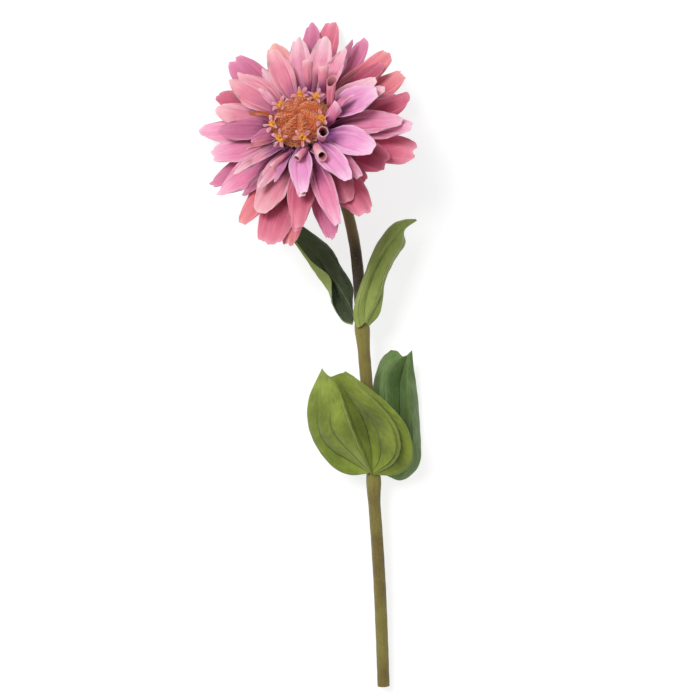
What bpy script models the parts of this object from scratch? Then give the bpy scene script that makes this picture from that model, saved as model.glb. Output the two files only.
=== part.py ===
"""A single cut zinnia flower, lying on a surface.

The stem lies along Y with its cut end towards -Y. The flower head is at the +Y end and
leans back from the surface, so that its far petals touch down. Lengths are in millimetres
here and become metres where a mesh is made. The origin is the bottom centre of the flower.
"""
import math

import bpy
from mathutils import Quaternion, Vector

MM = 0.001

# The head: a place above the surface, and an axis tilted from straight up.
HEAD_PLACE = (-20.7, 101.6, 36.0)
HEAD_TILT = 30.0
HEAD_LEAN = 118.0          # compass direction that the tilted axis points to, from +X

# The core of the head, along its own axis. Petals start on the wall of the receptacle.
CORE_RADIUS = 8.6
CORE_TOP = 6.2
CLAW_RADIUS = 9.3
CALYX_BOTTOM = -10.5
DISC_RADIUS = 12.5
DISC_BASE = 7.0
DISC_HEIGHT = 8.2
DISC_DIMPLE = 1.0
DIMPLE_RADIUS = 2.2

PETAL_THICKNESS = 0.5
PETAL_ROWS = 9             # steps along a petal
PETAL_COLUMNS = 4          # steps across it
CLAW_WIDTH = 2.0
WIDEST = 0.66              # where a petal is widest, as a share of its length
OPENING = 2.8              # how slowly the claw opens into the blade
CLOSING = 2.2              # how suddenly the blade closes to its tip
TIP_ROUNDING = 0.14
NOTCH_WIDTH = 0.22         # as a share of half the petal
CLAW_CURL = 60             # extra curl at the claw, in degrees
CLAW_SHARE = 0.35          # how far along the petal that extra curl lasts

# Each petal: heading of its claw, length, width, slope at the claw, slope at the tip,
# height of the claw on the receptacle, curl across it, width kept at the tip, and notch.
OUTER_PETALS = (
    (167, 48, 13, -4, -12, -4.0, 30, 0.60, 0.00),
    (202, 42, 14, -4, -10, -4.0, 30, 0.55, 0.00),
    (236, 43, 13, -2, -10, -4.0, 30, 0.60, 0.00),
    (261, 46, 13, -4, -12, -4.0, 30, 0.55, 0.00),
    (286, 47, 13, -3, -10, -3.2, 40, 0.50, 0.00),
    (347, 43, 17, -4, -8, -4.0, 40, 0.75, 0.03),
    (38, 45, 15, -6, -12, -4.0, 30, 0.65, 0.00),
    (68, 50, 13, -6, -10, -4.0, 30, 0.70, 0.00),
    (110, 50, 17, -1, -8, -4.0, 30, 0.65, 0.00),
    (147, 49, 14, -4, -12, -2.8, 30, 0.70, 0.00),
    (305, 44, 16, 0, -9, -2.6, 30, 0.65, 0.00),
    (51, 49, 14, -4, -10, -2.6, 30, 0.60, 0.04),
    (85, 56, 13, -1, -8, -2.8, 30, 0.65, 0.00),
    (130, 55, 17, -1, -8, -1.4, 40, 0.80, 0.07),
)
SECOND_PETALS = (
    (213, 41, 15, -2, -8, -2.5, 30, 0.50, 0.00),
    (190, 37, 15, 0, -4, -1.7, 30, 0.70, 0.00),
    (155, 41, 15, -2, -8, -1.5, 40, 0.70, 0.00),
    (255, 48, 18, -2, -8, -2.5, 30, 0.75, 0.00),
    (16, 42, 16, -2, 4, -2.5, 80, 0.60, 0.00),
    (332, 34, 16, 1, -6, -2.0, 30, 0.75, 0.00),
    (302, 36, 14, 0, -5, -0.5, 30, 0.70, 0.00),
    (91, 54, 12, 0, -6, -1.5, 40, 0.65, 0.00),
    (46, 40, 12, 0, -4, -1.3, 50, 0.65, 0.00),
    (357, 42, 13, 4, 0, -0.3, 30, 0.70, 0.00),
)
MIDDLE_PETALS = (
    (134, 39, 13, 4, 0, 1.0, 50, 0.50, 0.00),
    (145, 38, 13, 8, 1, 2.4, 50, 0.45, 0.00),
    (175, 33, 14, 4, 0, -0.2, 40, 0.55, 0.00),
    (247, 38, 17, 4, -4, -0.2, 60, 0.70, 0.00),
    (273, 45, 14, 6, 2, 0.0, 60, 0.45, 0.00),
    (289, 51, 11, 8, 3, 1.6, 70, 0.50, 0.00),
    (358, 38, 14, 6, 4, 1.0, 60, 0.55, 0.00),
    (97, 40, 12, 8, 4, -0.2, 70, 0.55, 0.00),
    (111, 37, 12, 9, 5, 2.2, 60, 0.55, 0.00),
    (34, 31, 14, 12, 8, 0.0, 60, 0.60, 0.00),
)
INNER_PETALS = (
    (78, 38, 13, 13, 8, 0.6, 80, 0.55, 0.00),
    (61, 33, 11, 18, 13, 2.0, 80, 0.50, 0.00),
    (314, 35, 12, 8, 8, 1.7, 200, 0.60, 0.00),
    (15, 33, 10, 14, 14, 2.2, 90, 0.50, 0.00),
    (331, 34, 16, 16, 14, 2.8, 60, 0.65, 0.00),
    (13, 30, 16, 18, 16, 4.1, 60, 0.60, 0.00),
    (304, 38, 12.5, 17, 14, 4.3, 70, 0.60, 0.00),
    (277, 33, 10, 12, 5, 3.4, 70, 0.50, 0.00),
    (275, 32, 12, 15, 6, 5.1, 60, 0.60, 0.00),
    (242, 29, 8, 14, 4, 1.2, 80, 0.50, 0.00),
    (223, 31, 7, 16, 8, 2.6, 80, 0.50, 0.00),
)

# Star florets round the edge of the disc: heading, distance from the axis, tilt outwards.
FLORETS = (
    (143, 10.4, 32), (89, 10.6, 28), (50, 11.2, 30), (345, 11.2, 28),
    (283, 10.8, 34), (236, 11.4, 38), (196, 11.0, 36),
)
FLORET_RADIUS = 3.7
FLORET_DEPTH = 2.4
FLORET_RISE = 0.7          # how far a floret's foot stands off the disc
FLORET_LOBES = 5
FLORET_NOTCH = 0.32        # depth of the gaps between lobes, as a share of the radius
FLORET_SIDES = 20

# The stem's centre line, from the cut end to the bend under the head.
STEM_ROUTE = (
    (16.0, -160.7, 3.0), (15.2, -137.0, 4.4), (14.2, -113.0, 6.0), (12.9, -91.0, 7.5),
    (11.5, -70.8, 9.0), (11.1, -58.0, 9.8), (9.2, -32.0, 11.4), (7.0, -5.7, 13.0),
    (5.8, 9.5, 14.0), (3.9, 34.9, 15.3), (1.6, 52.8, 16.2), (-3.0, 71.1, 17.2),
    (-8.6, 82.0, 18.2),
)
STEM_RADIUS = 2.9
NECK_RADIUS = 2.5
NODE_SWELLING = 0.65
NODE_LENGTH = 6.0
LEAF_NODES = (-62.7, 9.5)  # where the two pairs of leaves join, along Y
NECK_BEND = (6.0, 2.0)     # two places below the stem's top that bring it in line
CALYX_GAP = 0.7            # between the stem's top and the calyx

LEAF_THICKNESS = 0.5
LEAF_ROWS = 14

# Each leaf hangs on rails that run from its base to its tip: its left edge, its folds and
# veins, and its right edge.
LEAVES = {
    "leaf_lower_front": (
        ((8, -58.5, 14), (0, -59, 14), (-8, -55, 15.5), (-16, -45.5, 17.5),
         (-19.5, -35, 19.5), (-19, -22, 22.5), (-13, -8.5, 25)),
        ((9, -58, 14.2), (0.5, -52.5, 16), (-8, -47, 19), (-13.5, -40, 21.5),
         (-15, -31.5, 24), (-14, -21.5, 26), (-12.5, -9.5, 26.5)),
        ((9.5, -57.5, 14.6), (2, -49.5, 20), (-4.5, -42.5, 24), (-8.5, -36, 27),
         (-9, -27, 29), (-10, -18.5, 29.5), (-12, -10, 28)),
        ((10, -58.5, 15.5), (5, -48, 23), (1, -38, 28), (-2.5, -29, 31.5),
         (-4.5, -22, 32), (-7.5, -16, 31), (-10, -12, 29)),
        ((10.5, -58, 14.2), (6.5, -48, 18.5), (2.5, -38, 22.5), (-1, -28.5, 26),
         (-3.5, -21.5, 27.5), (-6, -15.5, 28), (-9, -12.5, 27.5)),
        ((10.5, -58, 14), (10, -47.5, 14.5), (8, -38, 16), (5, -30, 20),
         (0.5, -23, 23), (-3.5, -17, 25.5), (-7.5, -12, 26.5)),
        ((11, -58, 14), (14.5, -50, 15.5), (14, -41.5, 19.5), (10.5, -32.5, 23.5),
         (5, -25.5, 27), (0, -18.5, 29), (-5, -11, 29)),
        ((11, -58.5, 14.5), (19, -52.5, 20.5), (22, -46.5, 25), (21, -39, 28.5),
         (17, -31.5, 31), (9, -22.5, 33), (-3, -10.5, 32)),
        ((11, -59, 14.2), (20, -54, 16), (23.5, -47.5, 19.5), (22.5, -38.5, 23),
         (18.5, -31, 26), (10, -22, 29.5), (-2, -10, 30.5)),
        ((11.5, -59, 14), (22.5, -59, 13), (29, -53.5, 16.5), (29.5, -45.5, 20.5),
         (26, -35, 24), (17, -24.5, 28), (1.5, -12, 30))),
    "leaf_lower_back": (
        ((14.5, -59, 5.5), (11, -50, 3.5), (10.5, -38.5, 2.5), (11, -26.5, 2.5),
         (11.5, -16.5, 3), (14.5, -5, 4.5), (19.5, 0, 7)),
        ((14.5, -59, 6), (13.5, -50, 6), (14, -38, 5.5), (14, -26, 6),
         (14.5, -15, 7), (17, -6, 8), (22.5, -0.5, 9)),
        ((15, -59, 6.5), (16, -50.5, 7), (17, -39, 7), (17, -26.5, 8),
         (17, -16, 9), (20, -7.5, 9.5), (25, -3, 10)),
        ((15.5, -59.5, 5.5), (21, -52.5, 4), (23.5, -41, 3), (24, -28, 2.5),
         (24, -16.5, 3), (25.5, -8.5, 5), (27, -2.5, 9)),
        ((16, -59.5, 5), (25.5, -57, 6.5), (29, -45, 9), (28.5, -28.5, 9.5),
         (28, -16.5, 9), (27.5, -8.5, 8), (28.5, -1, 10)),
        ((16.5, -59.5, 4), (25, -62.5, 2), (32.5, -55.5, 1.5), (34, -44, 2),
         (33, -28, 2.5), (30.5, -10.5, 5), (29.5, 0, 10.5))),
    "leaf_upper_left": (
        ((1.2, 12.5, 14), (-3.5, 14, 14.5), (-7.5, 21, 15.5), (-9, 27.5, 18),
         (-10, 35, 17), (-18.5, 42.5, 11), (-26, 52, 7)),
        ((1.2, 12, 13.5), (-3.5, 14, 13.5), (-8, 21, 13), (-10, 27.5, 12.5),
         (-15, 34.5, 11.5), (-21, 43.5, 9), (-27, 52, 6.5)),
        ((1.5, 13.5, 13.5), (-2, 18, 12.5), (-5, 23.5, 11.5), (-7.5, 30, 11),
         (-12, 37.5, 10), (-17.5, 45.5, 8), (-26, 54, 5.5)),
        ((1.5, 16, 14.5), (-0.5, 21.5, 14), (-3.5, 27, 13), (-6.5, 31.5, 12.5),
         (-10.5, 37.5, 11), (-16, 47, 8.5), (-26, 56.5, 5)),
        ((1.3, 20, 13.5), (0.5, 25, 12), (-1.5, 31.5, 10.5), (-4.5, 36.5, 9),
         (-7, 42.5, 8), (-13.5, 50, 6.5), (-25.5, 58.5, 4)),
        ((1, 23, 12.5), (1.5, 29, 10.5), (-1, 34.5, 8.5), (-4.5, 40.5, 7),
         (-8, 46.5, 5.5), (-13.5, 52.5, 4), (-25, 61, 3))),
    "leaf_upper_right": (
        ((3.2, 10.5, 18), (1.5, 16, 17.8), (2.5, 24, 18.5), (7.5, 36.5, 20),
         (12.5, 49.5, 21), (19, 58.5, 22), (25.5, 61, 21.5), (31, 61.5, 20)),
        ((5, 11, 18.8), (4, 18.5, 20.5), (5.5, 26, 22.5), (10, 37.5, 24.5),
         (15, 47.5, 25.5), (20.5, 55.5, 25), (25.5, 59.5, 23), (31, 61, 20.3)),
        ((6.5, 12.5, 19), (7, 19, 20), (8, 25.5, 21), (11.5, 36, 22.5),
         (17, 46.5, 23.5), (22, 53.5, 23.5), (26, 58.5, 22.5), (31, 61, 20.5)),
        ((7.5, 13, 19.5), (11, 20.5, 21.5), (14, 27.5, 23.5), (16, 34.5, 25),
         (19, 42.5, 24.5), (23.5, 50, 23), (25.5, 57.5, 22), (31, 61, 20.5)),
        ((8, 12, 18.5), (11.5, 19, 19.5), (14.5, 26.5, 20.5), (16.5, 33.5, 21.5),
         (20, 41.5, 20.5), (24.5, 49.5, 19.5), (25.5, 56.5, 20), (31, 61, 20.3)),
        ((9.2, 11.5, 17.8), (13.5, 16.5, 18), (15.5, 25, 18.5), (17, 34.5, 19),
         (21, 43.5, 17.5), (26, 50.5, 17), (25, 56, 18.5), (31.5, 61, 20))),
}

COLOURS = {
    "petal": (0.72, 0.25, 0.36, 1.0),
    "disc": (0.52, 0.16, 0.04, 1.0),
    "floret": (0.75, 0.30, 0.22, 1.0),
    "stem": (0.16, 0.15, 0.05, 1.0),
    "leaf": (0.20, 0.28, 0.07, 1.0),
    "calyx": (0.13, 0.20, 0.06, 1.0),
    "core": (0.34, 0.36, 0.16, 1.0),
}
ROUGHNESS = 0.7


def remove_everything():
    for old in list(bpy.data.objects):
        bpy.data.objects.remove(old, do_unlink=True)


def new_material(name, colour):
    material = bpy.data.materials.new(name)
    material.use_nodes = True
    shader = material.node_tree.nodes["Principled BSDF"]
    shader.inputs["Base Color"].default_value = colour
    shader.inputs["Roughness"].default_value = ROUGHNESS
    shader.inputs["Metallic"].default_value = 0.0
    return material


def new_collection(name):
    collection = bpy.data.collections.new(name)
    bpy.context.scene.collection.children.link(collection)
    return collection


def place(collection, name, data, material, parent):
    """Put a mesh or a curve into the flower as a named part."""
    data.materials.append(material)
    part = bpy.data.objects.new(name, data)
    part.parent = parent
    collection.objects.link(part)
    return part


def new_empty(collection, name, parent=None):
    empty = bpy.data.objects.new(name, None)
    empty.parent = parent
    collection.objects.link(empty)
    return empty


def grid_mesh(name, rows, closed=False):
    """Skin a list of equally long rows of points, in millimetres, with four-sided faces."""
    across = len(rows[0])
    points = [Vector(point) * MM for row in rows for point in row]
    faces = []
    for row in range(len(rows) - 1):
        for column in range(across if closed else across - 1):
            left = row * across + column
            right = row * across + (column + 1) % across
            faces.append((left, right, right + across, left + across))
    mesh = bpy.data.meshes.new(name)
    mesh.from_pydata(points, [], faces)
    mesh.shade_smooth()
    return mesh


def give_thickness(part, thickness):
    solidify = part.modifiers.new("thickness", "SOLIDIFY")
    solidify.thickness = thickness * MM
    solidify.offset = 0.0


def smooth_route(points, steps):
    """Read points from a smooth curve through a short list of places."""
    places = [Vector(point) for point in points]
    first = places[0] * 2 - places[1]
    last = places[-1] * 2 - places[-2]
    padded = [first] + places + [last]
    route = []
    for step in range(steps + 1):
        along = step / steps * (len(places) - 1)
        span = min(int(along), len(places) - 2)
        t = along - span
        a, b, c, d = padded[span:span + 4]
        route.append(0.5 * (2 * b + (c - a) * t + (2 * a - 5 * b + 4 * c - d) * t * t
                            + (3 * b - a - 3 * c + d) * t ** 3))
    return route


def petal_width(along, width, tip):
    """Width across a petal: a narrow claw, a broad blade and a rounded tip."""
    opening = math.sin(math.pi / 2 * min(along / WIDEST, 1.0)) ** OPENING
    closing = 1.0 - (1.0 - tip) * max((along - WIDEST) / (1.0 - WIDEST), 0.0) ** CLOSING
    return (CLAW_WIDTH + (width - CLAW_WIDTH) * opening) * closing


def petal_spine(length, rise, tip_rise, along):
    """Place and slope of the middle line at a share of the petal's length."""
    start = math.radians(rise)
    turn = math.radians(tip_rise - rise)
    slope = start + turn * along
    if abs(turn) < 0.001:
        return length * along * math.cos(start), length * along * math.sin(start), slope
    out = length * (math.sin(slope) - math.sin(start)) / turn
    up = length * (math.cos(start) - math.cos(slope)) / turn
    return out, up, slope


def petal_rows(length, width, rise, tip_rise, curl, tip, notch):
    """Rows of points for a petal that starts at the origin and runs along +X."""
    rows = []
    for row in range(PETAL_ROWS + 1):
        along = row / PETAL_ROWS
        points = []
        for column in range(PETAL_COLUMNS + 1):
            side = 2 * column / PETAL_COLUMNS - 1
            reach = 1 - TIP_ROUNDING * abs(side) ** 2.4
            reach -= notch * math.exp(-(side / NOTCH_WIDTH) ** 2)
            share = along * (1 - (1 - reach) * along ** 2)
            out, up, slope = petal_spine(length, rise, tip_rise, share)
            extra = max(CLAW_CURL - max(curl - CLAW_CURL, 0), 0)
            arc = math.radians(curl + extra * max(1 - along / CLAW_SHARE, 0))
            radius = petal_width(along, width, tip) / arc
            turn = side * arc / 2
            lift = radius * (1 - math.cos(turn))
            points.append((out - lift * math.sin(slope), radius * math.sin(turn),
                           up + lift * math.cos(slope)))
        rows.append(points)
    return rows


def make_petal(collection, name, head, material, row):
    heading, length, width, rise, tip_rise, level, curl, tip, notch = row
    mesh = grid_mesh(name, petal_rows(length, width, rise, tip_rise, curl, tip, notch))
    petal = place(collection, name, mesh, material, head)
    angle = math.radians(heading)
    petal.location = Vector((CLAW_RADIUS * math.cos(angle), CLAW_RADIUS * math.sin(angle),
                             level)) * MM
    petal.rotation_euler = (0.0, 0.0, angle)
    give_thickness(petal, PETAL_THICKNESS)


def make_petals(collection, head):
    material = new_material("petal_pink", COLOURS["petal"])
    groups = {"outer": OUTER_PETALS, "second": SECOND_PETALS,
              "middle": MIDDLE_PETALS, "inner": INNER_PETALS}
    for group, rows in groups.items():
        for number, row in enumerate(rows, start=1):
            make_petal(collection, f"petal_{group}_{number:02d}", head, material, row)


def turned(collection, name, profile, steps, material, parent):
    """Turn a profile, given from top to bottom as radius and height, about the Z axis."""
    mesh = bpy.data.meshes.new(name)
    points = [(radius * MM, 0.0, height * MM) for radius, height in profile]
    mesh.from_pydata(points, [(i, i + 1) for i in range(len(points) - 1)], [])
    part = place(collection, name, mesh, material, parent)
    screw = part.modifiers.new("turn", "SCREW")
    screw.steps = steps
    screw.render_steps = steps
    screw.use_merge_vertices = True
    screw.merge_threshold = 0.00001
    screw.use_smooth_shade = True
    return part


def make_receptacle(collection, head):
    profile = [(0.0, CORE_TOP), (CORE_RADIUS - 0.8, CORE_TOP), (CORE_RADIUS, CORE_TOP - 0.8),
               (CORE_RADIUS, -4.6), (7.0, -6.4), (4.6, -7.7), (0.0, -8.1)]
    turned(collection, "receptacle", profile, 20, new_material("core", COLOURS["core"]), head)


def make_calyx(collection, head):
    profile = [(0.0, -8.5), (4.9, -8.1), (7.4, -6.8), (9.1, -5.4), (10.4, -5.6),
               (8.8, -7.7), (6.0, -9.6), (3.3, CALYX_BOTTOM), (0.0, CALYX_BOTTOM)]
    turned(collection, "calyx", profile, 24, new_material("calyx_green", COLOURS["calyx"]), head)


def disc_height(radius):
    """Height of the domed disc above its base at a distance from the head's axis."""
    share = min(radius / DISC_RADIUS, 1.0)
    dome = DISC_HEIGHT * math.sqrt(max(1.0 - share ** 2.2, 0.0))
    return dome - DISC_DIMPLE * math.exp(-(radius / DIMPLE_RADIUS) ** 2)


def make_disc(collection, head):
    rings = 10
    angles = [math.pi / 2 * ring / rings for ring in range(rings + 1)]
    profile = []
    for angle in angles:
        radius = DISC_RADIUS * math.sin(angle)
        profile.append((radius, DISC_BASE + disc_height(radius)))
    profile += [(DISC_RADIUS - 0.9, DISC_BASE - 0.5), (0.0, DISC_BASE - 0.5)]
    turned(collection, "disc", profile, 32, new_material("disc_brown", COLOURS["disc"]), head)


def floret_rows():
    """Closed rings of a five-lobed funnel: up the outside, over the rim and down inside."""
    shape = ((0.25, 0.0), (0.45, 0.5), (0.8, 0.85), (1.0, 1.0),
             (0.86, 1.02), (0.5, 0.72), (0.22, 0.62))
    rows = []
    for size, height in shape:
        ring = []
        for step in range(FLORET_SIDES):
            angle = 2 * math.pi * step / FLORET_SIDES
            lobe = 1 - FLORET_NOTCH * size * (0.5 - 0.5 * math.cos(FLORET_LOBES * angle))
            radius = FLORET_RADIUS * size * lobe
            ring.append((radius * math.cos(angle), radius * math.sin(angle),
                         FLORET_DEPTH * height))
        rows.append(ring)
    return rows


def floret_mesh():
    mesh = grid_mesh("floret", floret_rows(), closed=True)
    count = len(mesh.vertices)
    points = [vertex.co.copy() for vertex in mesh.vertices]
    faces = [tuple(face.vertices) for face in mesh.polygons]
    faces.append(tuple(reversed(range(FLORET_SIDES))))
    faces.append(tuple(range(count - FLORET_SIDES, count)))
    mesh.clear_geometry()
    mesh.from_pydata(points, [], faces)
    mesh.shade_smooth()
    return mesh


def make_florets(collection, head):
    material = new_material("floret_peach", COLOURS["floret"])
    for number, (heading, distance, tilt) in enumerate(FLORETS, start=1):
        mesh = floret_mesh()
        floret = place(collection, f"disc_floret_{number}", mesh, material, head)
        angle = math.radians(heading)
        height = DISC_BASE + disc_height(distance) + FLORET_RISE
        floret.location = Vector((distance * math.cos(angle), distance * math.sin(angle),
                                  height)) * MM
        floret.rotation_euler = (0.0, math.radians(tilt), angle)


def stem_radius(point):
    """Radius of the stem: slimmer at the neck and swollen where leaves join."""
    share = min(max((point.y - LEAF_NODES[1]) / 70.0, 0.0), 1.0)
    radius = STEM_RADIUS + (NECK_RADIUS - STEM_RADIUS) * share
    for node in LEAF_NODES:
        radius += NODE_SWELLING * math.exp(-((point.y - node) / NODE_LENGTH) ** 2)
    return radius


def head_turn():
    lean = math.radians(HEAD_LEAN)
    return Quaternion((-math.sin(lean), math.cos(lean), 0.0), math.radians(HEAD_TILT))


def stem_route():
    """The stem's centre line, with its bend up into the calyx."""
    axis = head_turn() @ Vector((0.0, 0.0, 1.0))
    place_of_head = Vector(HEAD_PLACE)
    top = place_of_head + axis * (CALYX_BOTTOM - CALYX_GAP)
    bend = [top - axis * below for below in NECK_BEND] + [top]
    return smooth_route(list(STEM_ROUTE) + bend, 44)


def make_stem(collection, flower):
    curve = bpy.data.curves.new("stem", "CURVE")
    curve.dimensions = "3D"
    curve.bevel_depth = MM
    curve.bevel_resolution = 3
    curve.use_fill_caps = True
    route = stem_route()
    spline = curve.splines.new("POLY")
    spline.points.add(len(route) - 1)
    for point, place_on_route in zip(spline.points, route):
        point.co = (*(place_on_route * MM), 1.0)
        point.radius = stem_radius(place_on_route)
    place(collection, "stem", curve, new_material("stem_olive", COLOURS["stem"]), flower)


def leaf_rows(rails):
    """Rows of points across a leaf, read at even steps along its rails."""
    lines = [smooth_route(rail, LEAF_ROWS) for rail in rails]
    return [list(row) for row in zip(*lines)]


def make_leaves(collection, flower):
    material = new_material("leaf_green", COLOURS["leaf"])
    for name, rails in LEAVES.items():
        leaf = place(collection, name, grid_mesh(name, leaf_rows(rails)), material, flower)
        give_thickness(leaf, LEAF_THICKNESS)


def stand_on_origin(flower, collection):
    """Move the flower so that the origin is the bottom centre of its box."""
    bpy.context.view_layer.update()
    graph = bpy.context.evaluated_depsgraph_get()
    corners = []
    for part in collection.objects:
        if part.type != "EMPTY":
            solid = part.evaluated_get(graph)
            mesh = solid.to_mesh()
            corners += [solid.matrix_world @ vertex.co for vertex in mesh.vertices]
            solid.to_mesh_clear()
    low = Vector(min(corner[axis] for corner in corners) for axis in range(3))
    high = Vector(max(corner[axis] for corner in corners) for axis in range(3))
    flower.location = (-(low.x + high.x) / 2, -(low.y + high.y) / 2, -low.z)


def main():
    remove_everything()
    collection = new_collection("zinnia_flower")
    flower = new_empty(collection, "flower")
    head = new_empty(collection, "head", flower)
    head.location = Vector(HEAD_PLACE) * MM
    head.rotation_mode = "QUATERNION"
    head.rotation_quaternion = head_turn()
    make_stem(collection, flower)
    make_leaves(collection, flower)
    make_calyx(collection, head)
    make_receptacle(collection, head)
    make_disc(collection, head)
    make_florets(collection, head)
    make_petals(collection, head)
    stand_on_origin(flower, collection)


main()
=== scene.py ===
# %% [markdown]
# # A cut zinnia, lying on a pale surface
#
# The flower is a single stem with two pairs of leaves and one big double bloom. A fixed
# frame gives the size and place of every part. This lesson puts a finely shaped petal,
# leaf or stem where each plain solid is, and gives each one a procedural finish.

# %% Load the frame and keep its box
import math

import bpy
import numpy as np
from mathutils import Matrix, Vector


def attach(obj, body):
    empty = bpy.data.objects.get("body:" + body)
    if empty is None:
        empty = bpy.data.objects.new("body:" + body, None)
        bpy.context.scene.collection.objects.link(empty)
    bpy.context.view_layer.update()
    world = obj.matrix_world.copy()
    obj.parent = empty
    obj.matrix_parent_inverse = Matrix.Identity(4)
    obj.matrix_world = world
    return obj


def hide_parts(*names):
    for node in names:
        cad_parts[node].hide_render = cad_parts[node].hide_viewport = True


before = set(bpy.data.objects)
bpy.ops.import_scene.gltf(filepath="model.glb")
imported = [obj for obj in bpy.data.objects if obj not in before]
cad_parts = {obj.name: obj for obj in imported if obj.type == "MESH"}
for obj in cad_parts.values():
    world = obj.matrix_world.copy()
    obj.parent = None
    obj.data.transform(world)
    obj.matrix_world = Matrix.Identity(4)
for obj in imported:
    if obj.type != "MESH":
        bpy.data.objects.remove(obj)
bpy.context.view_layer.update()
MM = 0.001
print("frame holds", len(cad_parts), "parts")

# %% [markdown]
# The head has an axis of its own, tilted away from straight up. A turned part is round
# about that axis, so the mean of its points lies on it. The disc and the calyx are the
# two ends of the head, and the line between their middles is the axis.

# %% Find the head's place and axis
CORE_TOP = 6.2          # height of the receptacle's top above the head's place, in mm
DRAWN_HEAD = (-20.7, 101.6, 36.0)   # the head's place in the drawing that the routes use


def points_of(node):
    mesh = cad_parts[node].data
    flat = np.empty(len(mesh.vertices) * 3)
    mesh.vertices.foreach_get("co", flat)
    return flat.reshape(-1, 3)


disc_middle = points_of("disc").mean(axis=0)
axis = disc_middle - points_of("calyx").mean(axis=0)
axis /= np.linalg.norm(axis)
core_top = (points_of("receptacle") @ axis).max()
head_place = disc_middle + axis * (core_top - CORE_TOP * MM - disc_middle @ axis)
turn = Vector((0, 0, 1)).rotation_difference(Vector(axis))
head_turn = np.array(turn.to_matrix())
shift = head_place - np.array(DRAWN_HEAD) * MM
print("head at", head_place.round(4), "axis", axis.round(3))

# %% [markdown]
# Most pieces here are thin curved sheets: petals, lobes, leaves and bracts. Solidify could
# thicken a plain grid, but a real petal is thinner at its rim. So the sheet is skinned by
# one helper that moves each point along its own normal, top and bottom, and closes the rim.
# The map that it writes runs across the sheet in U and along it in V, which every finish
# below reads.

# %% Helpers for points and sheets
SHEET_SHARP = 70        # edges of a sheet that turn by more than this many degrees stay sharp


def to_head(points):
    """Take points in millimetres from the head's own axes to the frame."""
    return head_place + (np.asarray(points) @ head_turn.T) * MM


def to_frame(points):
    """Take points in millimetres from the drawing to the frame."""
    return np.asarray(points) * MM + shift


def smooth_step(low, high, value):
    share = np.clip((value - low) / (high - low), 0.0, 1.0)
    return share * share * (3 - 2 * share)


def smooth_route(points, steps, ease=1.0):
    """Read points from a smooth curve through a short list of places."""
    places = np.asarray(points, float)
    padded = np.vstack([2 * places[0] - places[1], places, 2 * places[-1] - places[-2]])
    along = np.linspace(0, len(places) - 1, steps + 1)
    span = np.minimum(along.astype(int), len(places) - 2)
    t = (along - span)[:, None]
    before, start, end, after = (padded[span + k] for k in range(4))
    leave, arrive = ease * (end - before) / 2, ease * (after - start) / 2
    return (start * (2 * t ** 3 - 3 * t ** 2 + 1) + leave * (t ** 3 - 2 * t ** 2 + t)
            + end * (3 * t ** 2 - 2 * t ** 3) + arrive * (t ** 3 - t ** 2))


def normals_of(grid):
    along = np.gradient(grid, axis=0)
    across = np.gradient(grid, axis=1)
    normal = np.cross(along, across)
    return normal / np.maximum(np.linalg.norm(normal, axis=2, keepdims=True), 1e-12)


def sheet_faces(rows, columns):
    """Faces of a closed sheet: the top, the bottom and the four rims."""
    index = np.arange((rows + 1) * (columns + 1)).reshape(rows + 1, columns + 1)
    low = index + index.size
    top = np.stack([index[:-1, :-1], index[1:, :-1], index[1:, 1:], index[:-1, 1:]], -1)
    bottom = np.stack([low[:-1, :-1], low[:-1, 1:], low[1:, 1:], low[1:, :-1]], -1)
    edge = np.concatenate([index[:-1, 0], index[-1, :-1], index[:0:-1, -1], index[0, :0:-1]])
    following = np.roll(edge, -1)
    rim = np.stack([edge, edge + index.size, following + index.size, following], -1)
    return np.concatenate([top.reshape(-1, 4), bottom.reshape(-1, 4), rim])


def finish_mesh(name, points, faces, uv, materials, slots=None, sharp=None):
    """A smooth piece with its map and materials, and sharp edges over an angle if given."""
    mesh = bpy.data.meshes.new(name)
    mesh.from_pydata(points.tolist(), [], faces)
    layer = mesh.uv_layers.new(name="shape")
    corner = np.empty(len(mesh.loops), dtype=np.int32)
    mesh.loops.foreach_get("vertex_index", corner)
    layer.uv.foreach_set("vector", uv[corner].ravel())
    for material in materials:
        mesh.materials.append(material)
    if slots is not None:
        mesh.polygons.foreach_set("material_index", slots)
    mesh.shade_smooth()
    if sharp is not None:
        mesh.set_sharp_from_angle(angle=math.radians(sharp))
    mesh.update()
    piece = bpy.data.objects.new(name, mesh)
    bpy.context.scene.collection.objects.link(piece)
    return piece


def sheet(name, grid, thickness, materials):
    """A closed thin sheet round a grid of points in metres, thinner at its rim."""
    rows, columns = grid.shape[0] - 1, grid.shape[1] - 1
    u = np.linspace(0, 1, columns + 1)[None, :] + np.zeros((rows + 1, 1))
    v = np.linspace(0, 1, rows + 1)[:, None] + np.zeros((1, columns + 1))
    rim = 1 - 0.45 * np.maximum(np.abs(2 * u - 1) ** 6, v ** 12)
    offset = normals_of(grid) * (thickness / 2 * rim)[:, :, None]
    points = np.concatenate([(grid + offset).reshape(-1, 3), (grid - offset).reshape(-1, 3)])
    faces = sheet_faces(rows, columns)
    flat = np.stack([u, v], -1).reshape(-1, 2)
    slots = np.zeros(len(faces), dtype=np.int32)
    slots[rows * columns:2 * rows * columns] = len(materials) - 1
    return finish_mesh(name, points, faces.tolist(), np.concatenate([flat, flat]), materials,
                       slots, sharp=SHEET_SHARP)


# %% [markdown]
# ## Finishes
#
# Colours are picked as screen colours and turned into the linear values that shaders use.
# What several finishes share sits in node groups: the fibres that run along a piece, the
# colours of a petal, and the colours and veins of a leaf. A group only gives out colours,
# masks and heights.
# The Principled shader stays in each material, with its constant values on its own sockets.

# %% Colour and node helpers
def screen(red, green, blue):
    def linear(value):
        value /= 255
        return value / 12.92 if value <= 0.04045 else ((value + 0.055) / 1.055) ** 2.4
    return (linear(red), linear(green), linear(blue), 1.0)


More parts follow.
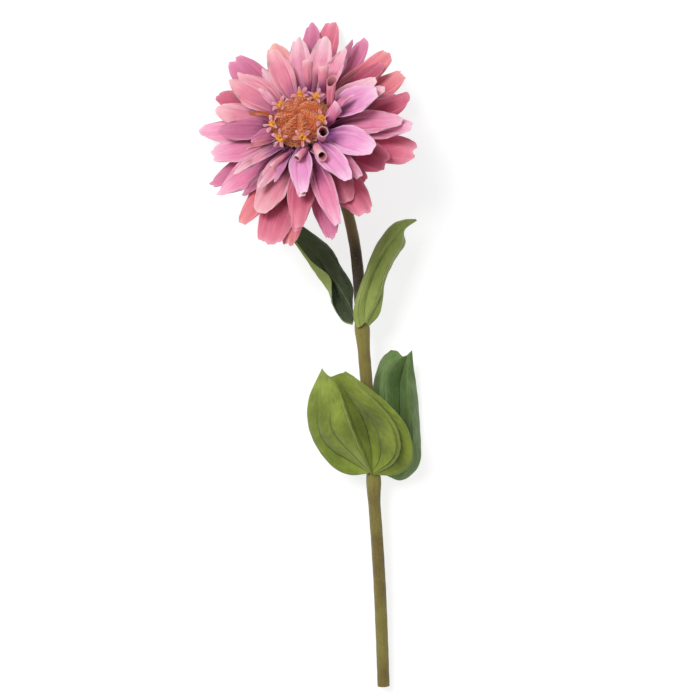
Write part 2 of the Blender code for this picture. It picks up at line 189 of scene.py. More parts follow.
class Nodes:
    """Small helper that adds nodes to a tree and links them in one line."""

    def __init__(self, tree):
        self.tree = tree

    def add(self, kind, **values):
        node = self.tree.nodes.new("ShaderNode" + kind)
        for key, value in values.items():
            setattr(node, key, value)
        return node

    def feed(self, socket, value):
        if isinstance(value, bpy.types.NodeSocket):
            self.tree.links.new(value, socket)
        else:
            socket.default_value = value

    def math(self, operation, *values):
        node = self.add("Math", operation=operation)
        for socket, value in zip(node.inputs, values):
            self.feed(socket, value)
        return node.outputs[0]

    def mix(self, factor, first, second, blend="MIX"):
        node = self.add("Mix", data_type="RGBA", blend_type=blend)
        self.feed(node.inputs["Factor"], factor)
        self.feed(node.inputs[6], first)
        self.feed(node.inputs[7], second)
        return node.outputs[2]

    def ramp(self, value, low, high, to_low=0.0, to_high=1.0):
        node = self.add("MapRange", interpolation_type="SMOOTHSTEP")
        for socket, number in zip(node.inputs, (value, low, high, to_low, to_high)):
            self.feed(socket, number)
        return node.outputs[0]

    def noise(self, vector, scale, detail=3.0, roughness=0.55):
        node = self.add("TexNoise")
        self.feed(node.inputs["Vector"], vector)
        self.feed(node.inputs["Scale"], scale)
        node.inputs["Detail"].default_value = detail
        node.inputs["Roughness"].default_value = roughness
        return node.outputs["Fac"]


def new_group(name, inputs, outputs):
    """A shader node group with its sockets, and its inner input and output nodes."""
    tree = bpy.data.node_groups.new(name, "ShaderNodeTree")
    for label, kind, value in inputs:
        socket = tree.interface.new_socket(label, in_out="INPUT", socket_type=kind)
        socket.default_value = value
    for label, kind in outputs:
        tree.interface.new_socket(label, in_out="OUTPUT", socket_type=kind)
    entry = tree.nodes.new("NodeGroupInput")
    leave = tree.nodes.new("NodeGroupOutput")
    return tree, Nodes(tree), entry, leave


def place_group(build, tree, **values):
    node = build.add("Group", node_tree=tree)
    for label, value in values.items():
        build.feed(node.inputs[label.replace("_", " ")], value)
    return node


def new_material(name, roughness, specular=0.3):
    material = bpy.data.materials.new(name)
    material.use_nodes = True
    shader = material.node_tree.nodes["Principled BSDF"]
    shader.inputs["Roughness"].default_value = roughness
    shader.inputs["Specular IOR Level"].default_value = specular
    return material, Nodes(material.node_tree), shader


def bump(build, shader, height, distance):
    node = build.add("Bump")
    node.inputs["Strength"].default_value = 1.0
    node.inputs["Distance"].default_value = distance
    build.feed(node.inputs["Height"], height)
    build.feed(shader.inputs["Normal"], node.outputs["Normal"])


# %% [markdown]
# Fibres show on petals, leaves and the stem: fine, slightly wandering lines that run from
# base to tip. They are noise that is squeezed across the piece and stretched along it. The
# group reads the sheet's own map, so the lines follow every curve of the piece.

# %% Group: fibres along a sheet
COLOUR, NUMBER = "NodeSocketColor", "NodeSocketFloat"


def make_fibres():
    tree, build, entry, leave = new_group(
        "fibres", [("Across", NUMBER, 20.0), ("Along", NUMBER, 1.5)],
        [("Fine", NUMBER), ("Broad", NUMBER)])
    place = build.add("UVMap", uv_map="shape")
    split = build.add("SeparateXYZ")
    build.feed(split.inputs[0], place.outputs["UV"])
    ground = build.add("TexCoord")
    drift = build.noise(ground.outputs["Object"], 90.0, 2.0)
    across = build.math("MULTIPLY", split.outputs["X"], entry.outputs["Across"])
    along = build.math("MULTIPLY", split.outputs["Y"], entry.outputs["Along"])
    joined = build.add("CombineXYZ")
    build.feed(joined.inputs["X"], build.math("ADD", across, drift))
    build.feed(joined.inputs["Y"], along)
    build.feed(joined.inputs["Z"], build.math("MULTIPLY", drift, 1.5))
    build.feed(leave.inputs["Fine"], build.noise(joined.outputs[0], 2.6, 4.0, 0.6))
    build.feed(leave.inputs["Broad"], build.noise(joined.outputs[0], 0.55, 2.0, 0.5))
    return tree


fibres = make_fibres()
print("made group", fibres.name)

# %% [markdown]
# A zinnia petal isn't one pink. It is violet and deep where it leaves the disc, clear in
# the middle, and paler or more coral at the tip, with a thin pale rim where the light comes
# through. One group mixes these from four colours, so each tone of petal is a short call.

# %% Group: petal colour
def make_petal_colour():
    inputs = [("Base", COLOUR, (0, 0, 0, 1)), ("Body", COLOUR, (1, 1, 1, 1)),
              ("Tip", COLOUR, (1, 1, 1, 1)), ("Rim", COLOUR, (1, 1, 1, 1)),
              ("Depth", NUMBER, 0.3)]
    tree, build, entry, leave = new_group(
        "petal_colour", inputs, [("Color", COLOUR), ("Height", NUMBER)])
    place = build.add("UVMap", uv_map="shape")
    split = build.add("SeparateXYZ")
    build.feed(split.inputs[0], place.outputs["UV"])
    across, along = split.outputs["X"], split.outputs["Y"]
    lines = place_group(build, fibres, Across=22.0, Along=1.6)
    ground = build.add("TexCoord")
    cloud = build.noise(ground.outputs["Object"], 70.0, 2.0)
    wander = build.math("MULTIPLY_ADD", cloud, 0.5, build.math("ADD", along, -0.25))
    wander = build.math("MULTIPLY_ADD", lines.outputs["Broad"], 0.22,
                        build.math("ADD", wander, -0.11))
    colour = build.mix(build.ramp(wander, 0.08, 0.62), entry.outputs["Base"],
                       entry.outputs["Body"])
    streak = build.ramp(lines.outputs["Broad"], 0.48, 0.64, 0.0, 0.85)
    streak = build.math("MULTIPLY", streak, build.ramp(along, 0.15, 0.55))
    colour = build.mix(streak, colour, entry.outputs["Tip"])
    colour = build.mix(build.ramp(wander, 0.62, 1.02), colour, entry.outputs["Tip"])
    shade = build.ramp(lines.outputs["Fine"], 0.35, 0.68, 0.0, 1.0)
    deeper = build.mix(1.0, colour, (0.74, 0.56, 0.66, 1.0), "MULTIPLY")
    colour = build.mix(build.math("MULTIPLY", shade, entry.outputs["Depth"]), colour, deeper)
    blotch = build.ramp(build.noise(ground.outputs["Object"], 160.0, 3.0), 0.5, 0.75, 0.0, 0.45)
    colour = build.mix(build.math("MULTIPLY", blotch, entry.outputs["Depth"]), colour, deeper)
    # Painted shade: the two lengthwise grooves of the blade are darkened along their lines, fading out
    # towards the tip.
    from_middle = build.math("ABSOLUTE", build.math("SUBTRACT", across, 0.5))
    crease_shade = build.math("ABSOLUTE", build.math("SUBTRACT", from_middle, 0.175))
    crease_shade = build.math("MULTIPLY", build.ramp(crease_shade, 0.0, 0.05, 0.5, 0.0),
                        build.ramp(along, 0.95, 0.5))
    colour = build.mix(crease_shade, colour, deeper)
    edge = build.math("MINIMUM", across, build.math("SUBTRACT", 1.0, across))
    edge = build.math("MINIMUM", edge, build.math("MULTIPLY",
                                                  build.math("SUBTRACT", 1.0, along), 0.8))
    paler = build.math("MULTIPLY", build.ramp(edge, 0.02, 0.24, 0.26, 0.0),
                       build.ramp(along, 0.3, 0.7))
    colour = build.mix(paler, colour, entry.outputs["Rim"])
    rim = build.ramp(edge, 0.0, 0.05, 0.5, 0.0)
    colour = build.mix(rim, colour, entry.outputs["Rim"])
    build.feed(leave.inputs["Color"], colour)
    build.feed(leave.inputs["Height"], lines.outputs["Fine"])
    return tree


petal_colour = make_petal_colour()

# Each tone: base, body, tip and rim of a petal, as screen colours.
TONES = {
    "pale": ((152, 84, 136), (242, 160, 184), (250, 196, 208), (252, 218, 224)),
    "blush": ((136, 66, 112), (230, 138, 158), (244, 176, 184), (250, 204, 206)),
    "pink": ((132, 56, 114), (232, 136, 170), (247, 172, 198), (251, 202, 219)),
    "lilac": ((124, 70, 132), (214, 134, 178), (234, 158, 196), (247, 197, 222)),
    "mauve": ((108, 52, 100), (188, 104, 140), (208, 120, 154), (230, 160, 187)),
    "rose": ((106, 36, 76), (200, 96, 122), (222, 122, 144), (240, 164, 178)),
    "crimson": ((98, 28, 60), (174, 74, 102), (196, 94, 122), (225, 140, 156)),
    "coral": ((144, 62, 94), (220, 118, 134), (235, 136, 142), (246, 172, 172)),
    "shell": ((122, 60, 134), (238, 158, 204), (250, 190, 222), (252, 215, 232)),
    "peach": ((146, 72, 110), (224, 138, 152), (240, 160, 154), (246, 192, 182)),
}
UNDERSIDE = 0.82
PETAL_GLOW = (0.0022, 0.0009, 0.0011)


def petal_material(name, colours, depth):
    material, build, shader = new_material(name, 0.62, 0.25)
    base, body, tip, rim = colours
    group = place_group(build, petal_colour, Base=screen(*base), Body=screen(*body),
                        Tip=screen(*tip), Rim=screen(*rim), Depth=depth)
    build.feed(shader.inputs["Base Color"], group.outputs["Color"])
    shader.inputs["Subsurface Weight"].default_value = 0.25
    shader.inputs["Subsurface Radius"].default_value = PETAL_GLOW
    shader.inputs["Subsurface Scale"].default_value = 1.0
    shader.inputs["Sheen Weight"].default_value = 0.12
    shader.inputs["Sheen Roughness"].default_value = 0.45
    bump(build, shader, group.outputs["Height"], 0.0002)
    return material


def duller(colour):
    grey = sum(colour) / 3
    return tuple((0.85 * value + 0.15 * grey) * UNDERSIDE for value in colour)


petal_finishes = {}
for tone, colours in TONES.items():
    petal_finishes[tone] = [petal_material("petal_" + tone, colours, 0.55),
                            petal_material("petal_" + tone + "_under",
                                           [duller(colour) for colour in colours], 0.8)]
print("made", len(petal_finishes), "petal tones")

# %% [markdown]
# ## Petals
#
# A petal is a narrow claw that opens into a blade. Its middle line leaves the receptacle at
# one slope and reaches the tip at another, and its cross-section is an arc that closes up
# towards the claw. On top of that come two soft grooves, fine ribs, a wave along the rim
# and a slightly uneven cut tip. All of it is one formula on a grid, so that more than fifty
# petals, which differ in a dozen numbers each, stay easy to read.

# %% The shape of a petal
CLAW_RADIUS = 9.3
CLAW_WIDTH = 2.0
WIDEST = 0.58
OPENING = 1.6           # how slowly the claw opens into the blade
PETAL_ROWS = 44
PETAL_COLUMNS = 20
PETAL_THICKNESS = 0.00034
# How each kind of tip ends: rounding at its corners, its power, and a wave in its edge.
TIPS = {"round": (0.23, 2.2, 0.006), "pointed": (0.30, 1.5, 0.008),
        "blunt": (0.15, 2.8, 0.012), "ragged": (0.17, 2.4, 0.018)}


def tip_reach(u, tip, notch, phase):
    corner, power, wave = TIPS[tip]
    reach = 1 - corner * (1 - np.sqrt(1.0 - 0.98 * np.abs(u) ** power))
    reach = reach - notch * np.exp(-(u / 0.2) ** 2)
    return reach + wave * (np.sin(7 * u + phase) + 0.4 * np.sin(17 * u + 2 * phase))


def petal_grid(length, width, rise, tip_rise, curl, tip_share, notch,
               tip="round", sway=0.0, twist=0.0, hook=0.0, phase=0.0,
               groove=0.7, ruffle=0.6, claw=CLAW_WIDTH, crown=0.0):
    """Points of a petal in millimetres that starts at the origin and runs along +X."""
    v = np.linspace(0, 1, PETAL_ROWS + 1)[:, None]
    u = np.linspace(-1, 1, PETAL_COLUMNS + 1)[None, :]
    u = 0.6 * u + 0.4 * np.sin(math.pi / 2 * u)     # closer columns towards the rims
    share = v * (1 - (1 - tip_reach(u, tip, notch, phase)) * v ** 2)
    s = np.linspace(0, 1.1, 111)
    slope = np.radians(rise + (tip_rise - rise) * s + hook * smooth_step(0.68, 1.0, s))
    step = length * (s[1] - s[0])
    out = np.concatenate([[0], np.cumsum(np.cos((slope[1:] + slope[:-1]) / 2)) * step])
    up = np.concatenate([[0], np.cumsum(np.sin((slope[1:] + slope[:-1]) / 2)) * step])
    tilt = np.interp(share, s, slope)
    opening = np.sin(math.pi / 2 * np.minimum(v / WIDEST, 1)) ** OPENING
    closing = 1 - 0.8 * (1 - tip_share) * np.maximum((v - WIDEST) / (1 - WIDEST), 0) ** 2.4
    full = (claw + (width - claw) * opening) * closing
    full = full * (1 + 0.012 * np.sin(17 * v + phase) + 0.01 * np.sin(31 * v + 3 * phase))
    arc = np.radians(curl + max(60 - max(curl - 60, 0), 0) * np.maximum(1 - v / 0.35, 0))
    radius = full / arc
    across = radius * np.sin(u * arc / 2)
    lift = radius * (1 - np.cos(u * arc / 2)) * (1 - crown * smooth_step(0.35, 0.85, v))
    blade = smooth_step(0.1, 0.5, v)
    lift = lift - groove * blade * (np.exp(-((np.abs(u) - 0.42) / 0.13) ** 2)
                                    - 0.5 * np.exp(-(u / 0.14) ** 2))
    lift = lift + 0.08 * blade * np.cos(13 * math.pi * u / 2)
    wave = np.sin(2 * math.pi * (1.6 * v) + phase + 1.7 * np.sign(u))
    lift = lift + ruffle * np.abs(u) ** 3 * wave * smooth_step(0.35, 0.9, v)
    lift = lift + 0.5 * blade * np.sin(3.1 * v + 2.2 * u + 2 * phase)
    roll = np.radians(twist) * share
    side = across * np.cos(roll) - lift * np.sin(roll) + sway * share ** 2
    height = across * np.sin(roll) + lift * np.cos(roll)
    return np.stack([np.interp(share, s, out) - height * np.sin(tilt), side,
                     np.interp(share, s, up) + height * np.cos(tilt)], -1)


def turned(grid, heading, foot):
    """Turn a petal to its heading and put its claw at its foot."""
    angle = math.radians(heading)
    cos, sin = math.cos(angle), math.sin(angle)
    x, y, z = grid[..., 0], grid[..., 1], grid[..., 2]
    return np.stack([x * cos - y * sin, x * sin + y * cos, z], -1) + np.asarray(foot)


def set_on_head(grid, heading, distance, level):
    """Turn a petal to its heading and move its claw out from the head's axis."""
    angle = math.radians(heading)
    return turned(grid, heading, (distance * math.cos(angle), distance * math.sin(angle), level))


# %% [markdown]
# The petals are laid like roof tiles from the back of the head to the front: outer, second,
# middle and inner. Each row gives the heading of the claw, length, width, slope at the claw
# and at the tip, height of the claw, curl across, width kept at the tip, notch and tone,
# and then whatever makes that petal different from its neighbours.

# %% Lay the petals
PETALS = {
    "outer": (
        (167, 48, 13, -4, -12, -4.0, 55, 0.60, 0.00, "pink", {}),
        (202, 42, 14, -4, -10, -4.0, 55, 0.55, 0.00, "mauve", {"tip": "ragged"}),
        (236, 43, 13, -2, -10, -4.0, 55, 0.60, 0.00, "coral", {}),
        (261, 46, 13, -4, -12, -4.0, 55, 0.55, 0.00, "coral", {"tip": "blunt"}),
        (286, 47, 13, -3, -10, -3.2, 65, 0.50, 0.00, "mauve", {"tip": "ragged"}),
        (347, 43, 17, -4, -8, -4.0, 65, 0.75, 0.03, "rose", {"tip": "blunt"}),
        (38, 45, 15, -6, -12, -4.0, 55, 0.65, 0.00, "coral", {"tip": "blunt"}),
        (68, 50, 13, -6, -10, -4.0, 55, 0.70, 0.00, "mauve", {"hook": 25}),
        (110, 50, 17, -1, -8, -4.0, 55, 0.65, 0.00, "peach", {}),
        (147, 49, 14, -4, -12, -2.8, 55, 0.70, 0.00, "crimson", {"tip": "ragged"}),
        (305, 44, 16, 0, -9, -2.6, 55, 0.65, 0.00, "rose", {"tip": "blunt"}),
        (51, 49, 14, -4, -10, -2.6, 55, 0.60, 0.04, "coral", {"tip": "blunt"}),
        (85, 56, 13, -1, -8, -2.8, 55, 0.65, 0.00, "rose", {"tip": "blunt"}),
        (130, 55, 17, -1, -8, -1.4, 65, 0.80, 0.07, "mauve", {}),
    ),
    "second": (
        (213, 41, 15, -2, -8, -2.5, 55, 0.50, 0.00, "pink", {"tip": "pointed"}),
        (190, 37, 15, 0, -4, -1.7, 55, 0.70, 0.00, "pink", {"tip": "ragged"}),
        (155, 41, 15, -2, -8, -1.5, 65, 0.70, 0.00, "blush", {}),
        (255, 48, 18, -2, -8, -2.5, 55, 0.75, 0.00, "rose", {"tip": "blunt"}),
        (16, 42, 16, -2, 4, -2.5, 92, 0.60, 0.00, "crimson", {"hook": 20}),
        (332, 34, 16, 1, -6, -2.0, 55, 0.75, 0.00, "crimson", {"tip": "blunt"}),
        (302, 36, 14, 0, -5, -0.5, 55, 0.70, 0.00, "rose", {}),
        (91, 54, 12, 0, -6, -1.5, 65, 0.65, 0.00, "mauve", {}),
        (46, 40, 12, 0, -4, -1.3, 75, 0.65, 0.00, "crimson", {}),
        (357, 42, 13, 4, 0, -0.3, 55, 0.70, 0.00, "pink", {}),
    ),
    "middle": (
        (134, 39, 13, 4, 0, 1.0, 75, 0.50, 0.00, "blush", {"tip": "pointed"}),
        (145, 38, 13, 8, 1, 2.4, 75, 0.45, 0.00, "blush", {"tip": "pointed"}),
        (175, 33, 14, 4, 0, -0.2, 65, 0.55, 0.00, "mauve", {}),
        (247, 38, 17, 4, -4, -0.2, 85, 0.70, 0.00, "blush", {"hook": 20}),
        (273, 45, 14, 6, 2, 0.0, 85, 0.45, 0.00, "rose", {}),
        (289, 51, 11, 8, 3, 1.6, 82, 0.50, 0.00, "pink", {}),
        (358, 38, 14, 6, 4, 1.0, 85, 0.55, 0.00, "pink", {}),
        (97, 40, 12, 8, 4, -0.2, 82, 0.55, 0.00, "pale", {"tip": "ragged"}),
        (111, 37, 12, 9, 5, 2.2, 85, 0.55, 0.00, "blush", {}),
        (34, 31, 14, 12, 8, 0.0, 85, 0.60, 0.00, "pale", {}),
    ),
    "inner": (
        (78, 38, 13, 13, 8, 0.6, 92, 0.55, 0.00, "pale", {}),
        (61, 33, 11, 18, 13, 2.0, 92, 0.50, 0.00, "pale", {"tip": "pointed"}),
        (314, 35, 12, 8, 8, 1.7, 200, 0.60, 0.00, "pink", {}),
        (15, 33, 10, 14, 14, 2.2, 102, 0.50, 0.00, "pale", {}),
        (331, 34, 16, 16, 14, 2.8, 85, 0.65, 0.00, "shell", {}),
        (13, 30, 16, 18, 16, 4.1, 85, 0.60, 0.00, "shell", {}),
        (304, 38, 12.5, 17, 14, 4.3, 82, 0.60, 0.00, "shell", {}),
        (277, 33, 10, 12, 5, 3.4, 82, 0.50, 0.00, "pale", {}),
        (275, 32, 12, 15, 6, 5.1, 85, 0.60, 0.00, "shell", {}),
        (242, 29, 8, 14, 4, 1.2, 92, 0.50, 0.00, "pale", {}),
        (223, 31, 7, 16, 8, 2.6, 92, 0.50, 0.00, "pale", {}),
    ),
    "small": (
        (267, 43, 10, 0, -6, -1.3, 65, 0.60, 0.00, "rose", {}),
        (71, 45, 8, 0, -4, -1.5, 85, 0.50, 0.00, "mauve", {"tip": "pointed"}),
        (122, 35, 10, 0, -4, -0.3, 75, 0.40, 0.00, "pale", {"tip": "pointed"}),
        (201, 16, 10, 18, 11, 3.8, 85, 0.50, 0.00, "mauve", {}),
        (228, 33, 9, -1, -8, -2.2, 75, 0.50, 0.00, "mauve", {"tip": "pointed"}),
        (245, 36, 9, -3, -9, -3.3, 75, 0.50, 0.00, "rose", {}),
        (291, 34, 10, -1, -7, -2.7, 65, 0.50, 0.00, "rose", {}),
        (318, 30, 10, -2, -6, -3.2, 65, 0.60, 0.00, "crimson", {}),
        (180, 34, 9, -2, -8, -3.3, 75, 0.50, 0.00, "crimson", {}),
        (26, 37, 9, -3, -6, -3.5, 75, 0.50, 0.00, "mauve", {}),
        (155, 36, 9, 0, -6, -2.5, 65, 0.50, 0.00, "pink", {}),
        (104, 37, 9, -2, -7, -3.1, 65, 0.50, 0.00, "rose", {}),
    ),
}


# How far the outer half of a petal turns its edges down instead of up.
CROWNS = {"outer": 1.7, "second": 1.6, "middle": 0.9, "inner": 0.5, "small": 1.2}


def lay_petals():
    count = 0
    for layer, rows in PETALS.items():
        for number, row in enumerate(rows, start=1):
            heading, length, width, rise, tip_rise, level, curl, kept, notch, tone, more = row
            habit = {"sway": 1.5 * math.sin(2.4 * count + 0.7),
                     "twist": 7 * math.sin(1.7 * count),
                     "hook": 7 * math.sin(3.1 * count + 1.0),
                     "crown": CROWNS[layer]} | more
            grid = petal_grid(length, width, rise, tip_rise, curl, kept, notch,
                              phase=1.9 * count, **habit)
            grid = to_head(set_on_head(grid, heading, CLAW_RADIUS, level))
            petal = sheet(f"{layer}_petal_{number:02d}", grid, PETAL_THICKNESS,
                          petal_finishes[tone])
            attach(petal, "root")
            if layer != "small":
                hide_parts(f"petal_{layer}_{number:02d}")
            count += 1
    return count


print("laid", lay_petals(), "petals")

# %% [markdown]
# Close to the disc the youngest petals haven't opened. Each is still rolled into a little
# scroll with a slanted mouth. A cylinder would look like a straw, so the sheet is rolled
# as a spiral that goes round a little more than once, and its outer edge shows as a seam.
# One hasn't closed yet, and goes only two thirds round.

# %% Add the rolled young petals
TUBE_ROWS = 26
TUBE_COLUMNS = 44
TUBE_THICKNESS = 0.00042
# Each, in the head's axes in mm: foot, mouth, diameter, turns of the scroll, where its outer
# edge lies in degrees, slant of the mouth, taper, and tone.
TUBES = (
    ((3.2, 14.6, 8.6), (3.6, 27.2, 16.0), 4.6, 1.15, 200, 0.05, 0.25, "blush"),
    ((10.4, 13.8, 8.6), (11.6, 23.2, 16.2), 5.0, 1.12, 250, 0.03, 0.10, "blush"),
    ((14.2, 2.5, 8.6), (15.5, 12.4, 14.8), 4.4, 1.12, 115, -0.45, 0.20, "rose"),
    ((12.6, -3.0, 7.0), (20.6, 3.0, 15.0), 5.2, 0.66, 20, 0.35, -0.1, "pink"),
    ((10.9, -11.4, 7.0), (13.9, -12.8, 17.0), 4.6, 1.20, 90, 0.10, 0.20, "pale"),
    ((7.7, -13.6, 7.4), (13.4, -24.4, 14.6), 3.8, 1.20, 160, -0.1, 0.10, "blush"),
    ((4.6, -15.0, 7.4), (0.8, -23.6, 12.6), 3.0, 1.15, 200, 0.10, 0.10, "blush"),
    ((-3.0, -15.6, 6.6), (-11.9, -25.2, 9.6), 2.6, 1.05, 200, 0.12, 0.20, "blush"),
)
# Each: heading, foot in the head's axes in mm, length, width, slope at the foot and at the
# tip, curl, and tone.
SLIVERS = (
    (204, (-11.5, -8.2, 6.0), 15, 3.6, 22, 6, 110, "peach"),
    (176, (-13.4, 3.9, 7.6), 11.5, 4.2, 22, 2, 150, "dry"),
    (133, (-10.4, 6.8, 7.4), 15.5, 3.6, 24, 6, 90, "pale"),
    (322, (5.6, -16.0, 6.8), 9.5, 2.8, 18, 10, 120, "blush"),
    (24, (12.4, 1.0, 6.6), 17, 5.5, 36, 18, 150, "pink"),
    (216, (-8.0, -12.0, 5.6), 22, 4.6, 14, 2, 110, "pale"),
    (252, (-3.6, -14.0, 5.4), 20, 4.4, 16, 2, 120, "lilac"),
    (297, (7.0, -13.5, 5.0), 17, 5.0, 12, 2, 110, "mauve"),
)


def tube_grid(foot, mouth, diameter, turns, edge, slant, taper):
    """A scroll that rises from its foot to its mouth, in the head's axes."""
    foot, mouth = np.array(foot), np.array(mouth)
    ahead = (mouth - foot) / np.linalg.norm(mouth - foot)
    side = np.cross((0.0, 0.0, 1.0), ahead)
    side /= np.linalg.norm(side)
    over = np.cross(ahead, side)
    v = np.linspace(0, 1, TUBE_ROWS + 1)[:, None]
    u = np.linspace(0, 1, TUBE_COLUMNS + 1)[None, :]
    angle = math.radians(edge) + 2 * math.pi * turns * u
    radius = diameter / 2 * (1 - 0.2 * u) * (0.55 + 0.45 * smooth_step(0, 0.35, v))
    radius = radius * (1 - taper * (1 - v)) * (1 + 0.10 * v ** 6)
    radius = radius * (1 + 0.03 * np.sin(5 * angle + 9 * v))
    length = np.linalg.norm(mouth - foot) * (1 + slant * np.sin(angle) * 0.5 - slant * 0.5)
    bow = 0.05 * np.linalg.norm(mouth - foot) * np.sin(math.pi * v)
    place = foot + ahead * (v * length)[..., None]
    return (place + side * (radius * np.cos(angle))[..., None]
            + over * (radius * np.sin(angle) + bow)[..., None])


petal_finishes["dry"] = [petal_material("petal_dry", ((176, 88, 60), (206, 116, 84),
                                                      (160, 86, 44), (196, 122, 66)), 0.9)] * 2
# The inner face of the rolled petals is painted shade: darkest deep in the scroll and lighter towards
# its mouth.
throat_shade = petal_material("petal_throat_shade", ((64, 14, 30), (108, 32, 50), (150, 56, 74),
                                         (240, 180, 186)), 0.6)


def lay_tubes():
    for number, (foot, mouth, diameter, turns, edge, slant, taper, tone) in enumerate(
            TUBES, start=1):
        grid = to_head(tube_grid(foot, mouth, diameter, turns, edge, slant, taper))
        tube = sheet(f"rolled_petal_{number:02d}", grid[:, ::-1], TUBE_THICKNESS,
                     [petal_finishes[tone][0], throat_shade])
        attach(tube, "root")


def lay_slivers():
    for number, row in enumerate(SLIVERS, start=1):
        heading, foot, length, width, rise, tip_rise, curl, tone = row
        grid = petal_grid(length, width, rise, tip_rise, curl, 0.4, 0.0, tip="pointed",
                          phase=1.3 * number, groove=0.1, ruffle=0.2, claw=width * 0.5)
        sliver = sheet(f"sliver_petal_{number:02d}", to_head(turned(grid, heading, foot)),
                       PETAL_THICKNESS, petal_finishes[tone])
        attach(sliver, "root")


lay_tubes()
lay_slivers()
print("laid", len(TUBES), "rolled petals and", len(SLIVERS), "slivers")

# %% [markdown]
# ## Disc
#
# The disc is a dome packed with chaffy bracts, over two thousand here. They spiral like the seeds of a
# sunflower, so each one is turned by the golden angle from the last. A texture alone would
# leave a smooth outline, so every bract is a real narrow leaflet with a few faces, leaning
# into the swirl. They are joined into one mesh, on top of a lumpy dome.

# %% Disc finishes
def make_disc_material():
    """Chaff whose map holds its tint across, from rust to gold with painted light, and its height
    along, which paints shade at the roots.
    """
    material, build, shader = new_material("disc_chaff", 0.75, 0.2)
    place = build.add("UVMap", uv_map="shape")
    split = build.add("SeparateXYZ")
    build.feed(split.inputs[0], place.outputs["UV"])
    tint_and_shade, height = split.outputs["X"], split.outputs["Y"]
    colour = build.mix(build.ramp(tint_and_shade, 0.0, 0.35), screen(184, 84, 40), screen(250, 136, 78))
    colour = build.mix(build.ramp(tint_and_shade, 0.35, 0.75), colour, screen(255, 172, 122))
    colour = build.mix(build.ramp(tint_and_shade, 0.8, 1.0), colour, screen(250, 158, 56))
    # Painted shade: each bract is darkened towards its root, where the bracts crowd, and so is the
    # dome beneath them.
    colour = build.mix(build.ramp(height, 0.0, 0.5, 0.7, 0.0), colour, screen(150, 56, 28))
    build.feed(shader.inputs["Base Color"], colour)
    shader.inputs["Sheen Weight"].default_value = 0.3
    shader.inputs["Sheen Roughness"].default_value = 0.5
    ground = build.add("TexCoord")
    bump(build, shader, build.noise(ground.outputs["Object"], 3000.0, 2.0), 0.00008)
    return material


disc_chaff = make_disc_material()

# %% Build the disc
DISC_RADIUS = 12.5
DISC_BASE = 7.0
DISC_HEIGHT = 8.2
DISC_DIMPLE = 1.0
GOLDEN_ANGLE = math.radians(137.508)
CHAFF_COUNT = 2400
DIMPLE_RADIUS = 1.7
TUFTS = 7                  # broad tufts of chaff round the disc
TUFT_HEIGHT = 2.0
DOME_RINGS, DOME_SIDES = 40, 96
DOME_INSET = 0.25          # how far the plain dome lies below the feet of the chaff
# The dome takes a low place on the chaff's map, so it shows the painted shade at the roots.
DOME_TINT = (0.3, 0.1)     # its one place on the chaff's map, near the roots
CHAFF_SEED = 11
CHAFF_SINK = 0.35          # how deep a bract is rooted


def tuft(radius, heading):
    """How high the tufts stand, from minus one to one, swirling a little outwards."""
    return np.cos(TUFTS * heading + 0.28 * radius) * np.sin(math.pi * np.clip(
        radius / DISC_RADIUS, 0.0, 1.0) ** 1.3)


def dome_height(radius, heading):
    share = np.clip(radius / DISC_RADIUS, 0.0, 1.0)
    dome = DISC_HEIGHT * np.sqrt(np.maximum(1 - share ** 2.2, 0.0))
    return (DISC_BASE + dome + TUFT_HEIGHT / 2 * tuft(radius, heading)
            - 1.5 * DISC_DIMPLE * np.exp(-(radius / DIMPLE_RADIUS) ** 2))


def make_dome():
    angle = np.linspace(0, math.pi / 2, DOME_RINGS + 1)[:, None]
    heading = np.linspace(0, 2 * math.pi, DOME_SIDES, endpoint=False)[None, :]
    radius = (DISC_RADIUS - DOME_INSET) * np.sin(angle) + np.zeros_like(heading)
    radius[0] = 0.02
    height = dome_height(radius, heading) - DOME_INSET
    top = np.stack([radius * np.cos(heading), radius * np.sin(heading), height], -1)
    last = top[-1] * np.array([0.9, 0.9, 0.0]) + np.array([0, 0, DISC_BASE - 0.5])
    middle = last * np.array([0.02, 0.02, 1.0])
    grid = np.concatenate([top, last[None], middle[None]])
    index = np.arange(len(grid) * DOME_SIDES).reshape(-1, DOME_SIDES)
    beside = np.roll(index, -1, axis=1)
    faces = np.stack([index[:-1], index[1:], beside[1:], beside[:-1]], -1).reshape(-1, 4)
    caps = [index[0].tolist(), index[-1][::-1].tolist()]
    points = to_head(grid.reshape(-1, 3))
    uv = np.tile(DOME_TINT, (len(points), 1))
    return finish_mesh("disc_dome", points, faces.tolist() + caps, uv, [disc_chaff])


def chaff_points(place, normal, lean, size, width):
    """A narrow three-sided bract that bends over from the dome's normal towards its lean."""
    side = np.cross(normal, lean)
    rings = []
    for share in (0.0, 0.4, 0.75):
        bend = 0.6 + 0.75 * share
        centre = place + size * share * (normal * math.cos(bend) + lean * math.sin(bend))
        half = width * (1 - 0.75 * share ** 2)
        rings += [centre + side * half, centre - side * half,
                  centre + (normal * math.sin(bend) - lean * math.cos(bend)) * half * -0.7]
    bend = 1.45
    rings.append(place + size * (normal * math.cos(bend) + lean * math.sin(bend)))
    return rings


